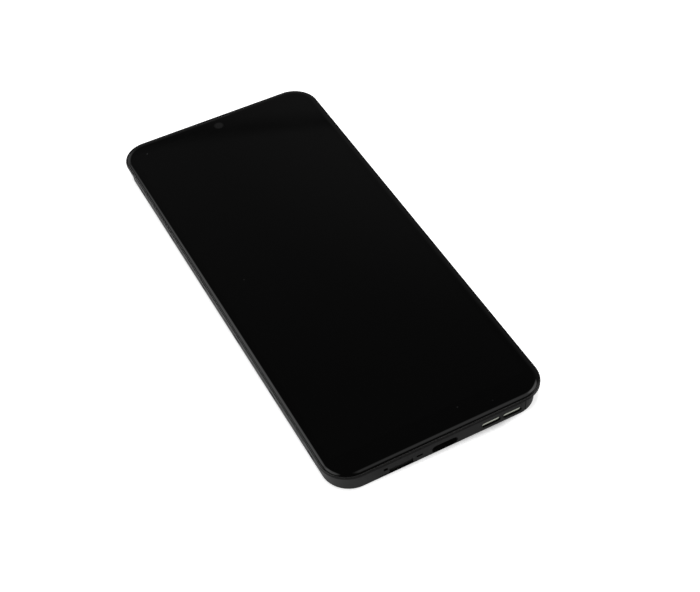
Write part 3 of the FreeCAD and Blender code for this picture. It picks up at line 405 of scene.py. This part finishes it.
def make_plain_weave():
    """Threads over and under each other along X and Y: two crossed waves, each raised where it is on top."""
    tree, given, wanted = new_group(
        "plain_weave", [("Pitch", "Float", 0.2 * MM)], [("Height", "Float"), ("Hole", "Float")])
    place = split_place(tree)
    turn = calculate(tree, "DIVIDE", math.pi, given["Pitch"])
    along, across = (calculate(tree, "SINE", times(tree, place[axis], turn)) for axis in "XY")
    over = times(tree, along, across)
    solid = calculate(tree, "MAXIMUM", *(calculate(tree, "ABSOLUTE", wave) for wave in (along, across)))
    join(tree, plus(tree, solid, times(tree, over, THREAD_RAISE)), wanted["Height"])
    join(tree, fall(tree, solid, *HOLE_SPAN), wanted["Hole"])
    return tree


def make_settled_dust():
    """Sparse pale flecks: the peaks of a fine noise, where a slow noise lets them lie."""
    tree, given, wanted = new_group(
        "settled_dust", [("Flecks", "Float", 1800.0), ("Amount", "Float", 0.3)], [("Dust", "Float")])
    place = own_place(tree)
    fine = noise(tree, place, given["Flecks"], detail=1.0, roughness=0.4)
    bed = noise(tree, place, DUST_BED)
    start = ramp(tree, given["Amount"], *DUST_START)
    flecks = calculate(tree, "MULTIPLY", minus(tree, fine, start), DUST_GAIN, clamp=True)
    join(tree, times(tree, flecks, rise(tree, bed, *DUST_BED_SPAN)), wanted["Dust"])
    return tree


def make_round_mask():
    """1 inside a circle in plan and 0 outside, with a soft rim."""
    tree, given, wanted = new_group(
        "round_mask",
        [("Centre", "Vector", (0.0, 0.0, 0.0)), ("Radius", "Float", MM), ("Soft", "Float", 0.1 * MM)],
        [("Inside", "Float")])
    flat = stretched(tree, own_place(tree), 1.0, 1.0, 0.0)
    away = add_node(tree, "VectorMath", {0: flat, 1: given["Centre"]}, operation="DISTANCE").outputs["Value"]
    gap = calculate(tree, "DIVIDE", minus(tree, given["Radius"], away), given["Soft"])
    join(tree, calculate(tree, "ADD", gap, 0.5, clamp=True), wanted["Inside"])
    return tree


MOULDED_GRAIN = make_moulded_grain()
ROLLED_LINES = make_rolled_lines()
PLAIN_WEAVE = make_plain_weave()
SETTLED_DUST = make_settled_dust()
ROUND_MASK = make_round_mask()


# Materials, one for each finish of the record

def new_material(name, **plain):
    """A material with its shader; values that don't vary are set on the shader's own sockets."""
    material = bpy.data.materials.new(name)
    material.use_nodes = True
    tree = material.node_tree
    tree.nodes.clear()
    sockets = {label.replace("_", " "): value for label, value in plain.items()}
    shader = add_node(tree, "BsdfPrincipled", sockets)
    add_node(tree, "OutputMaterial", {"Surface": shader.outputs[0]})
    return material, tree, shader.inputs


def glass_finish():
    """Gloss glass over black print: the display's area, a window for the camera, and a few specks of dust."""
    material, tree, shader = new_material("cover_glass", IOR=1.5)
    place = split_place(tree)
    across, along = (times(tree, calculate(tree, "GREATER_THAN", place[axis], low),
                           calculate(tree, "LESS_THAN", place[axis], high))
                     for axis, low, high in zip("XY", SCREEN_LOW, SCREEN_HIGH))
    base = blend(tree, times(tree, across, along), grey(PRINT_LEVEL), grey(SCREEN_LEVEL))
    window = placed(tree, ROUND_MASK, Centre=(*FRONT_CAMERA, 0.0), Radius=WINDOW_RADIUS, Soft=WINDOW_FADE)
    base = blend(tree, window["Inside"], base, grey(WINDOW_LEVEL))
    for x, y, radius, strength in DUST_SPECKS:
        speck = placed(tree, ROUND_MASK, Centre=(x * MM, y * MM, 0.0), Radius=radius * MM, Soft=SPECK_FADE)
        base = blend(tree, times(tree, speck["Inside"], strength), base, grey(SPECK_LEVEL))
    join(tree, base, shader["Base Color"])
    haze = noise(tree, own_place(tree), HAZE_CLOUDS, detail=3.0, roughness=0.6)
    join(tree, ramp(tree, haze, *GLASS_ROUGHNESS, *NOISE_SPAN), shader["Roughness"])
    return material


def grained(name, base, worn, roughness, depth, grain=6000.0):
    """Moulded stuff: its colour turns towards a second one with the flow marks, and the grain is raised."""
    material, tree, shader = new_material(name)
    effect = placed(tree, MOULDED_GRAIN, Grain=grain, Flow=FLOW_MARKS)
    join(tree, blend(tree, effect["Tone"], base, worn), shader["Base Color"])
    gloss = (roughness - GRAIN_SWING, roughness + GRAIN_SWING)
    join(tree, ramp(tree, effect["Tone"], *gloss), shader["Roughness"])
    join(tree, bump(tree, effect["Height"], depth), shader["Normal"])
    return material


def sheet_metal(name, base, dark, roughness, depth, lines=3000.0, cloud=80.0):
    """Rolled or brushed metal: lines along X in colour, gloss and height."""
    material, tree, shader = new_material(name, Metallic=1.0)
    effect = placed(tree, ROLLED_LINES, Lines=lines, Cloud=cloud)
    join(tree, blend(tree, effect["Tone"], dark, base), shader["Base Color"])
    gloss = (roughness + METAL_DULLED, roughness - METAL_POLISHED)
    join(tree, ramp(tree, effect["Tone"], *gloss), shader["Roughness"])
    join(tree, bump(tree, effect["Height"], depth), shader["Normal"])
    return material


def clear_sheet(name, base, roughness, transmission, ior):
    """A clear or milky film, whose gloss wanders slowly."""
    material, tree, shader = new_material(name, Base_Color=base, IOR=ior, Transmission_Weight=transmission)
    wander = noise(tree, own_place(tree), FILM_CLOUDS)
    gloss = (roughness * (1.0 - FILM_SWING), roughness * (1.0 + FILM_SWING))
    join(tree, ramp(tree, wander, *gloss, *NOISE_SPAN), shader["Roughness"])
    return material


def frame_finish():
    """Fine matt black moulding under thin satin lacquer, its small edges softened, with a little dust."""
    material, tree, shader = new_material("frame_plastic", Specular_IOR_Level=0.1, Coat_Roughness=0.4)
    effect = placed(tree, MOULDED_GRAIN, Grain=7000.0, Flow=50.0)
    base = blend(tree, effect["Tone"], colour(*FRAME_DARK), colour(*FRAME_PALE))
    dust = placed(tree, SETTLED_DUST, Flecks=1500.0, Amount=0.15)["Dust"]
    dusty = blend(tree, times(tree, dust, FRAME_DUST), base, grey(FRAME_DUST_LEVEL))
    join(tree, dusty, shader["Base Color"])
    join(tree, ramp(tree, effect["Tone"], *FRAME_ROUGHNESS), shader["Roughness"])
    # The band under the rim has less lacquer: painted shade of the rim's overhang, given as less gloss
    height = split_place(tree)["Z"]
    painted_shade_band = times(tree, rise(tree, height, SHADE_BAND_LOW, SHADE_BAND_LOW + SHADE_BAND_FADE),
                 fall(tree, height, SHADE_BAND_HIGH, SHADE_BAND_HIGH + SHADE_BAND_FADE))
    join(tree, ramp(tree, painted_shade_band, LACQUER, LACQUER_IN_PAINTED_SHADE), shader["Coat Weight"])
    soft = add_node(tree, "Bevel", {"Radius": FRAME_EDGE}, samples=4).outputs[0]
    raised = add_node(tree, "Bump", {"Height": effect["Height"], "Distance": FRAME_GRAIN, "Normal": soft})
    join(tree, raised.outputs[0], shader["Normal"])
    return material


def weave_finish(name, base, dark, pitch, roughness, metallic):
    """A woven cloth or wire mesh: threads in height, darker between them."""
    material, tree, shader = new_material(name, Metallic=metallic)
    effect = placed(tree, PLAIN_WEAVE, Pitch=pitch)
    join(tree, blend(tree, effect["Hole"], base, dark), shader["Base Color"])
    join(tree, ramp(tree, effect["Hole"], roughness, HOLE_ROUGHNESS), shader["Roughness"])
    join(tree, bump(tree, effect["Height"], pitch * WEAVE_DEPTH), shader["Normal"])
    return material


def flex_finish():
    """Amber cover film over copper tracks that run along Y, seen as slightly raised paler lines."""
    material, tree, shader = new_material("flex_film")
    along = stretched(tree, own_place(tree), 0.0, 1.0, 0.0)
    drift = noise(tree, along, 150.0, detail=1.0, roughness=0.4)
    bent = plus(tree, split_place(tree)["X"], times(tree, drift, TRACK_DRIFT))
    wave = calculate(tree, "SINE", times(tree, bent, 2.0 * math.pi / TRACK_PITCH))
    track = rise(tree, wave, 0.0, 0.35)
    amber, pale = colour(0.20, 0.075, 0.018), colour(0.42, 0.20, 0.06)
    join(tree, blend(tree, track, amber, pale), shader["Base Color"])
    join(tree, bump(tree, track, 0.02 * MM), shader["Normal"])
    join(tree, ramp(tree, track, 0.38, 0.26), shader["Roughness"])
    return material


def guide_finish():
    """Clear acrylic with rows of small printed dots on it."""
    material, tree, shader = new_material("light_guide", IOR=1.49)
    dots = placed(tree, PLAIN_WEAVE, Pitch=DOT_PITCH)
    join(tree, blend(tree, dots["Hole"], grey(0.80), grey(0.92)), shader["Base Color"])
    join(tree, ramp(tree, dots["Hole"], 0.05, 0.4), shader["Roughness"])
    return material


def prism_finish():
    """Brightening film: fine straight prisms along X, pearly."""
    material, tree, shader = new_material("optical_film", Roughness=0.25, Coat_Weight=0.4)
    across = stretched(tree, own_place(tree), 0.0, 1.0, 0.0)
    ridges = noise(tree, across, 9000.0, detail=1.0, roughness=0.3)
    cool, warm = colour(0.74, 0.76, 0.79), colour(0.84, 0.83, 0.80)
    join(tree, blend(tree, ridges, cool, warm), shader["Base Color"])
    join(tree, bump(tree, ridges, 0.01 * MM), shader["Normal"])
    return material


def lamp_finish():
    """White lamp bodies, speckled with yellow phosphor."""
    material, tree, shader = new_material("light_body", Roughness=0.35)
    spots = noise(tree, own_place(tree), 2500.0, roughness=0.6)
    body, phosphor = colour(0.86, 0.84, 0.72), colour(0.85, 0.78, 0.35)
    join(tree, blend(tree, spots, body, phosphor), shader["Base Color"])
    return material


def graphite_finish():
    """Dark graphite film, faintly wrinkled where it was rolled on."""
    material, tree, shader = new_material("graphite", Metallic=0.35)
    drawn_out = stretched(tree, own_place(tree), 1.0, 0.35, 1.0)
    folds = noise(tree, drawn_out, 220.0, detail=4.0, roughness=0.55)
    flakes = noise(tree, own_place(tree), 9000.0, roughness=0.6)
    join(tree, blend(tree, flakes, grey(0.030), grey(0.062)), shader["Base Color"])
    join(tree, ramp(tree, folds, 0.32, 0.5, *NOISE_SPAN), shader["Roughness"])
    join(tree, bump(tree, folds, 0.12 * MM, strength=0.5), shader["Normal"])
    return material


def tape_finish():
    """Milky stretch tape with small trapped bubbles."""
    material, tree, shader = new_material("clear_tape")
    bubbles = noise(tree, own_place(tree), 700.0)
    mask = rise(tree, bubbles, 0.58, 0.66)
    tape, bubble = colour(0.50, 0.52, 0.52), colour(0.72, 0.73, 0.72)
    join(tree, blend(tree, mask, tape, bubble), shader["Base Color"])
    join(tree, bump(tree, bubbles, 0.06 * MM, strength=0.6), shader["Normal"])
    join(tree, ramp(tree, mask, 0.2, 0.34), shader["Roughness"])
    return material


FINISHES = {
    "cover_glass": glass_finish(),
    "black_tape": grained("black_tape", grey(0.016), grey(0.024), roughness=0.75, depth=0.02 * MM,
                          grain=3500.0),
    "clear_adhesive": clear_sheet("clear_adhesive", grey(0.75), roughness=0.12, transmission=0.9, ior=1.47),
    "polariser_film": clear_sheet("polariser_film", colour(0.06, 0.06, 0.068), roughness=0.12,
                                  transmission=0.3, ior=1.5),
    "panel_glass": clear_sheet("panel_glass", colour(0.2, 0.22, 0.24), roughness=0.05, transmission=0.6,
                               ior=1.51),
    "bare_chip": sheet_metal("bare_chip", colour(0.16, 0.17, 0.21), colour(0.10, 0.11, 0.14), roughness=0.2,
                             depth=0.001 * MM),
    "optical_film": prism_finish(),
    "diffuser_film": grained("diffuser_film", grey(0.86), grey(0.82), roughness=0.6, depth=0.004 * MM,
                             grain=9000.0),
    "light_guide": guide_finish(),
    "reflector_film": sheet_metal("reflector_film", grey(0.92), grey(0.88), roughness=0.1, depth=0.001 * MM),
    "light_body": lamp_finish(),
    "flex_film": flex_finish(),
    "white_moulding": grained("white_moulding", grey(0.84), grey(0.78), roughness=0.5, depth=0.004 * MM),
    "steel_tray": sheet_metal("steel_tray", grey(0.62), grey(0.50), roughness=0.24, depth=0.004 * MM),
    "steel_stiffener": sheet_metal("steel_stiffener", grey(0.58), grey(0.44), roughness=0.3,
                                   depth=0.006 * MM),
    "connector_body": grained("connector_body", grey(0.02), grey(0.028), roughness=0.42, depth=0.004 * MM,
                              grain=5000.0),
    "grey_foam": grained("grey_foam", grey(0.05), grey(0.085), roughness=0.9, depth=0.08 * MM, grain=2600.0),
    "frame_plastic": frame_finish(),
    "plate_metal": sheet_metal("plate_metal", grey(0.50), grey(0.36), roughness=0.42, depth=0.01 * MM,
                               lines=2200.0, cloud=60.0),
    "insert_brass": sheet_metal("insert_brass", colour(0.78, 0.56, 0.24), colour(0.58, 0.38, 0.14),
                                roughness=0.28, depth=0.006 * MM, lines=4000.0, cloud=500.0),
    "graphite": graphite_finish(),
    "clear_tape": tape_finish(),
    "conductive_fabric": weave_finish("conductive_fabric", grey(0.46), grey(0.16), pitch=0.22 * MM,
                                      roughness=0.45, metallic=0.7),
    "fine_mesh": weave_finish("fine_mesh", grey(0.09), grey(0.006), pitch=0.12 * MM, roughness=0.35,
                              metallic=0.8),
    "boot_rubber": grained("boot_rubber", grey(0.018), grey(0.026), roughness=0.7, depth=0.006 * MM,
                           grain=4000.0),
}


# Surfaces

def smooth(mesh):
    """Marks all faces of a mesh as smooth."""
    mesh.polygons.foreach_set("use_smooth", np.ones(len(mesh.polygons), bool))


def keep_sharp(piece, degrees):
    """Parts a smooth surface along the edges that turn by more than the angle."""
    split = piece.modifiers.new("sharp_edges", "EDGE_SPLIT")
    split.split_angle = math.radians(degrees)


def soft_edged(node):
    """Smooths the facets of a solid's round faces and keeps its flats flat and its edges sharp."""
    smooth(node.data)
    weld = node.modifiers.new("joined", "WELD")
    weld.merge_threshold = WELD
    keep_sharp(node, SOLID_SHARP)
    flat = node.modifiers.new("flat_flats", "WEIGHTED_NORMAL")
    flat.keep_sharp = True


def new_object(name, data):
    """An object in the scene that shows a mesh, a lamp or a camera."""
    made = bpy.data.objects.new(name, data)
    bpy.context.scene.collection.objects.link(made)
    return made


def piece_of(name, points, faces, slot):
    """A new piece from its points and faces, riding on the one body and finished as its slot says."""
    mesh = bpy.data.meshes.new(name)
    mesh.from_pydata(points.tolist(), [], faces)
    smooth(mesh)
    mesh.update()
    piece = new_object(name, mesh)
    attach(piece, "root")
    mesh.materials.append(FINISHES[slot])
    return piece


def ring_faces(rows, columns):
    """Quads between neighbouring rows of points, each row a closed ring."""
    row, column = np.meshgrid(np.arange(rows - 1), np.arange(columns), indexing="ij")
    following = (column + 1) % columns
    quads = np.stack([row * columns + column, row * columns + following,
                      (row + 1) * columns + following, (row + 1) * columns + column], axis=-1)
    return quads.reshape(-1, 4)


def rounded_path(half_x, half_y, radius, arc_steps, top_places):
    """Points and outward directions round a rectangle with round corners, anticlockwise from its right side.

    Each corner is a quarter circle: centre plus radius times (cos a, sin a). The top straight gets more
    points, at the given places along X.
    """
    quarter = np.linspace(0.0, 0.5 * np.pi, arc_steps)
    centres = ((1, 1), (-1, 1), (-1, -1), (1, -1))
    points, outward = [], []
    for number, (side_x, side_y) in enumerate(centres):
        angle = quarter + 0.5 * np.pi * number
        away = np.stack([np.cos(angle), np.sin(angle)], axis=-1)
        centre = np.array([side_x * (half_x - radius), side_y * (half_y - radius)])
        points.append(centre + radius * away)
        outward.append(away)
        if number == 0:
            points.append(np.stack([top_places, np.full(len(top_places), half_y)], axis=-1))
            outward.append(np.tile([0.0, 1.0], (len(top_places), 1)))
    return np.concatenate(points), np.concatenate(outward)


def make_cover_glass():
    """The glass plate: an outline carried inwards while its height follows an arc of radius R.

    At a distance e = w - R sin a from the edge the surface lies R (1 - cos a) under the top, with w the
    curve's width, d its drop and R = (w w + d d) / 2 d. Its outermost part is rounded over into the side. The
    slit is a smooth step in the outline, which dies out at the curve's end.
    """
    low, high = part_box("cover_glass")
    radius = (EDGE_CURVE_WIDTH ** 2 + EDGE_CURVE_DROP ** 2) / (2.0 * EDGE_CURVE_DROP)
    turn = np.linspace(math.asin((EDGE_CURVE_WIDTH - EDGE_ROUND) / radius), 0.0, CURVE_STEPS)
    brow = high.z - EDGE_CURVE_DROP
    inset = np.concatenate([[EDGE_ARRIS, 0.0, 0.0, ROUND_IN * EDGE_ROUND],
                            EDGE_CURVE_WIDTH - radius * np.sin(turn), EDGE_CURVE_WIDTH + FLAT_RINGS])
    height = np.concatenate([[low.z, low.z + EDGE_ARRIS, brow - EDGE_ROUND, brow - ROUND_DOWN * EDGE_ROUND],
                             high.z - radius * (1.0 - np.cos(turn)), [high.z, high.z]])
    places = np.concatenate([np.linspace(*run) for run in TOP_EDGE_RUNS]) * MM
    path, outward = rounded_path(high.x, high.y, GLASS_CORNER, CORNER_STEPS, places)
    edge = (SLIT_HALF_LENGTH - np.abs(path[:, 0])) / SLIT_END_ROUND
    step = np.clip(edge + 0.5, 0.0, 1.0)
    notch = SLIT_DEPTH * step * step * (3.0 - 2.0 * step) * (outward[:, 1] > FACING_TOP)
    share = np.clip(1.0 - inset / EDGE_CURVE_WIDTH, 0.0, 1.0)
    inward = inset[:, None] + notch[None, :] * share[:, None]
    flat = path[None, :, :] - inward[:, :, None] * outward[None, :, :]
    rows, columns = len(inset), len(path)
    tall = np.repeat(height[:, None, None], columns, axis=1)
    points = np.concatenate([flat, tall], axis=2).reshape(-1, 3)
    faces = ring_faces(rows, columns).tolist()
    faces.append(list(range((rows - 1) * columns, rows * columns)))
    faces.append(list(range(columns))[::-1])
    glass = piece_of("cover_glass_curved", points, faces, "cover_glass")
    keep_sharp(glass, GLASS_SHARP)
    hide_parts("cover_glass")


def make_threaded_bushes():
    """Eight brass bushes: each a profile turned about its screw's axis, knurled outside and threaded inside.

    Outside, the radius is r - k |sin(n a / 2)|. Inside, it is h + d |2 f - 1|, where f is the part of a turn
    by which the height over the pitch runs ahead of the angle, so that the crest winds once round per pitch.
    """
    low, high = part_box("threaded_inserts")
    places, outer, hole = bush_circles()
    angle = np.linspace(0.0, 2.0 * np.pi, BUSH_STEPS, endpoint=False)
    inner_z = np.linspace(low.z + BUSH_CHAMFER, high.z - BUSH_CHAMFER, THREAD_LEVELS)
    outer_z = np.array([high.z - BUSH_CHAMFER, low.z + BUSH_CHAMFER])
    turn = np.mod(inner_z[:, None] / THREAD_PITCH - angle[None, :] / (2.0 * np.pi), 1.0)
    thread = hole + THREAD_DEPTH * np.abs(2.0 * turn - 1.0)
    knurl = outer - KNURL_DEPTH * np.abs(np.sin(0.5 * KNURL_COUNT * angle))
    mouth = np.full((1, BUSH_STEPS), hole + THREAD_DEPTH + BUSH_CHAMFER)
    shoulder = np.full((1, BUSH_STEPS), outer - BUSH_CHAMFER)
    radius = np.concatenate([mouth, thread, mouth, shoulder, np.tile(knurl, (2, 1)), shoulder, mouth])
    level = np.concatenate([[low.z], inner_z, [high.z, high.z], outer_z, [low.z, low.z]])
    x = radius * np.cos(angle)
    y = radius * np.sin(angle)
    z = np.broadcast_to(level[:, None], x.shape)
    bush = np.stack([x, y, z], axis=-1).reshape(-1, 3)
    points = (places[:, None, :] + bush[None, :, :]).reshape(-1, 3)
    starts = np.arange(len(places))[:, None, None] * len(bush)
    faces = (starts + ring_faces(len(level), BUSH_STEPS)[None]).reshape(-1, 4).tolist()
    bushes = piece_of("threaded_bushes", points, faces, "insert_brass")
    keep_sharp(bushes, THREAD_SHARP)
    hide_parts("threaded_inserts")


def bush_circles():
    """The bushes' places, outer radius and hole radius, from the solids and the record's mounts."""
    places = []
    for mount in frame["record"]["mounts"]:
        if mount["kind"] == "bolt_pattern":
            x, y = mount["pos_m"][:2]
            half_x = mount["dims"]["spacing_x_mm"] * MM / 2
            half_y = mount["dims"]["spacing_y_mm"] * MM / 2
            hole = mount["dims"]["hole_r_mm"] * MM
            places += [(x + half_x * side, y + half_y * end, 0.0) for side in (-1, 1) for end in (-1, 1)]
    places = np.array(places)
    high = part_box("threaded_inserts")[1]
    return places, high.x - places[:, 0].max(), hole


# Studio

def make_floor():
    """A white table, lit as paint is and lifted to white, with a painted glow under the frame and other
    levels in gloss.
    """
    corners = np.array([(-1, -1), (1, -1), (1, 1), (-1, 1)]) * FLOOR_HALF
    points = np.concatenate([corners, np.full((4, 1), cad_low.z)], axis=1)
    mesh = bpy.data.meshes.new("floor")
    mesh.from_pydata(points.tolist(), [], [(0, 1, 2, 3)])
    material = bpy.data.materials.new("floor")
    material.use_nodes = True
    tree = material.node_tree
    tree.nodes.clear()
    ray = add_node(tree, "LightPath").outputs
    place = split_place(tree)
    paint = add_node(tree, "BsdfDiffuse", {"Color": grey(FLOOR_WHITE)})
    past = []
    for axis, half in (("X", cad_high.x), ("Y", cad_high.y)):
        straight = half - UNDER_INSET - UNDER_CORNER
        beyond = minus(tree, calculate(tree, "ABSOLUTE", place[axis]), straight)
        past.append(calculate(tree, "MAXIMUM", beyond, 0.0))
    corner = add_node(tree, "CombineXYZ", {"X": past[0], "Y": past[1]}).outputs[0]
    away = add_node(tree, "VectorMath", {0: corner}, operation="LENGTH").outputs["Value"]
    under = calculate(tree, "LESS_THAN", away, UNDER_CORNER)
    ahead = times(tree, calculate(tree, "MULTIPLY_ADD", place["X"], NEAR_SLANT, place["Y"]), -1.0)
    near = times(tree, rise(tree, ahead, *NEAR_FADE), fall(tree, place["X"], *NEAR_SIDE_FADE))
    lift = blend(tree, near, grey(FLOOR_LIFT), grey(FLOOR_LIFT_NEAR))
    # Under the frame the floor glows instead of lying in shade: painted light, as if lit through the slots
    tint = blend(tree, under, lift, colour(*(share * FLOOR_UNDER_GLOW for share in UNDER_GLOW_TINT)))
    glow = add_node(tree, "Emission", {"Color": tint, "Strength": ray["Is Camera Ray"]})
    both = add_node(tree, "AddShader", {0: paint.outputs[0], 1: glow.outputs[0]})
    mirrored = ramp(tree, place["X"], FLOOR_MIRRORED_LEFT, FLOOR_MIRRORED, cad_low.x, cad_low.x + FLOOR_TURN)
    image = add_node(tree, "Emission", {"Strength": mirrored})
    turned = add_node(tree, "MixShader", {0: ray["Is Glossy Ray"], 1: both.outputs[0], 2: image.outputs[0]})
    add_node(tree, "OutputMaterial", {"Surface": turned.outputs[0]})
    mesh.materials.append(material)
    new_object("floor", mesh)


def direction(bearing, raised):
    """The unit vector at a bearing clockwise from +Y and a height above the table, both in degrees."""
    bearing, raised = math.radians(bearing), math.radians(raised)
    return (math.cos(raised) * math.sin(bearing), math.cos(raised) * math.cos(bearing), math.sin(raised))


def make_world():
    """White where it is seen, an even soft light on the object, and a dark studio with panels in gloss."""
    world = bpy.data.worlds.new("studio")
    bpy.context.scene.world = world
    world.use_nodes = True
    tree = world.node_tree
    tree.nodes.clear()
    ray = add_node(tree, "LightPath").outputs
    way = add_node(tree, "TexCoord").outputs["Generated"]
    height = add_node(tree, "SeparateXYZ", {0: way}).outputs["Z"]
    gloss = ramp(tree, height, STUDIO_LOW, STUDIO_OVERHEAD, *STUDIO_TURN)
    seam = times(tree, ramp(tree, height, 0.0, SEAM_LEVEL, SEAM_BELOW, SEAM),
                 fall(tree, height, SEAM, SEAM_ABOVE))
    gloss = plus(tree, gloss, seam)
    for bearing, raised, inner, outer, level in PANELS:
        middle = direction(bearing, raised)
        facing = add_node(tree, "VectorMath", {0: way, 1: middle}, operation="DOT_PRODUCT").outputs["Value"]
        fade = (math.cos(math.radians(outer)), math.cos(math.radians(inner)))
        gloss = plus(tree, gloss, ramp(tree, facing, 0.0, level, *fade, "SMOOTHSTEP"))
    seen = calculate(tree, "MAXIMUM", ray["Is Camera Ray"], ray["Is Transmission Ray"])
    strength = turned_into(tree, ray["Is Glossy Ray"], ROOM_LEVEL, gloss)
    strength = turned_into(tree, seen, strength, 1.0)
    light = add_node(tree, "Background", {"Color": grey(1.0), "Strength": strength})
    add_node(tree, "OutputWorld", {"Surface": light.outputs[0]})


def make_key_light():
    """One large soft lamp nearly overhead, which no gloss mirrors."""
    lamp = bpy.data.lights.new("key", "AREA")
    lamp.shape = "DISK"
    lamp.size = KEY_SIZE
    lamp.energy = KEY_POWER
    key = new_object("key", lamp)
    key.location = KEY_POSITION
    key.rotation_mode = "QUATERNION"
    key.rotation_quaternion = (-Vector(KEY_POSITION)).to_track_quat("-Z", "Y")
    key.visible_glossy = False


def make_camera():
    """The photograph's camera, from its azimuth, elevation and roll."""
    lens = bpy.data.cameras.new("camera")
    lens.lens = CAMERA_LENS
    lens.sensor_width = SENSOR_WIDTH
    lens.clip_start = 0.01
    lens.clip_end = 20.0
    camera = new_object("camera", lens)
    azimuth, elevation, roll = (math.radians(v) for v in (CAMERA_AZIMUTH, CAMERA_ELEVATION, CAMERA_ROLL))
    back = Vector((math.sin(azimuth) * math.cos(elevation), -math.cos(azimuth) * math.cos(elevation),
                   math.sin(elevation)))
    level = Vector((math.cos(azimuth), math.sin(azimuth), 0.0))
    raised = back.cross(level)
    right = level * math.cos(roll) + raised * math.sin(roll)
    up = back.cross(right)
    turned = Matrix((right, up, back)).transposed().to_4x4()
    camera.matrix_world = Matrix.Translation(CAMERA_POSITION) @ turned
    bpy.context.scene.camera = camera


bpy.context.scene.view_settings.view_transform = "Standard"
slot_of = {part["node"]: part["material_slot"] for part in frame["record"]["subparts"]}
for name, node in frame["nodes"].items():
    node.data.materials.clear()
    node.data.materials.append(FINISHES[slot_of[name]])
    soft_edged(node)
make_cover_glass()
make_threaded_bushes()
make_floor()
make_world()
make_key_light()
make_camera()
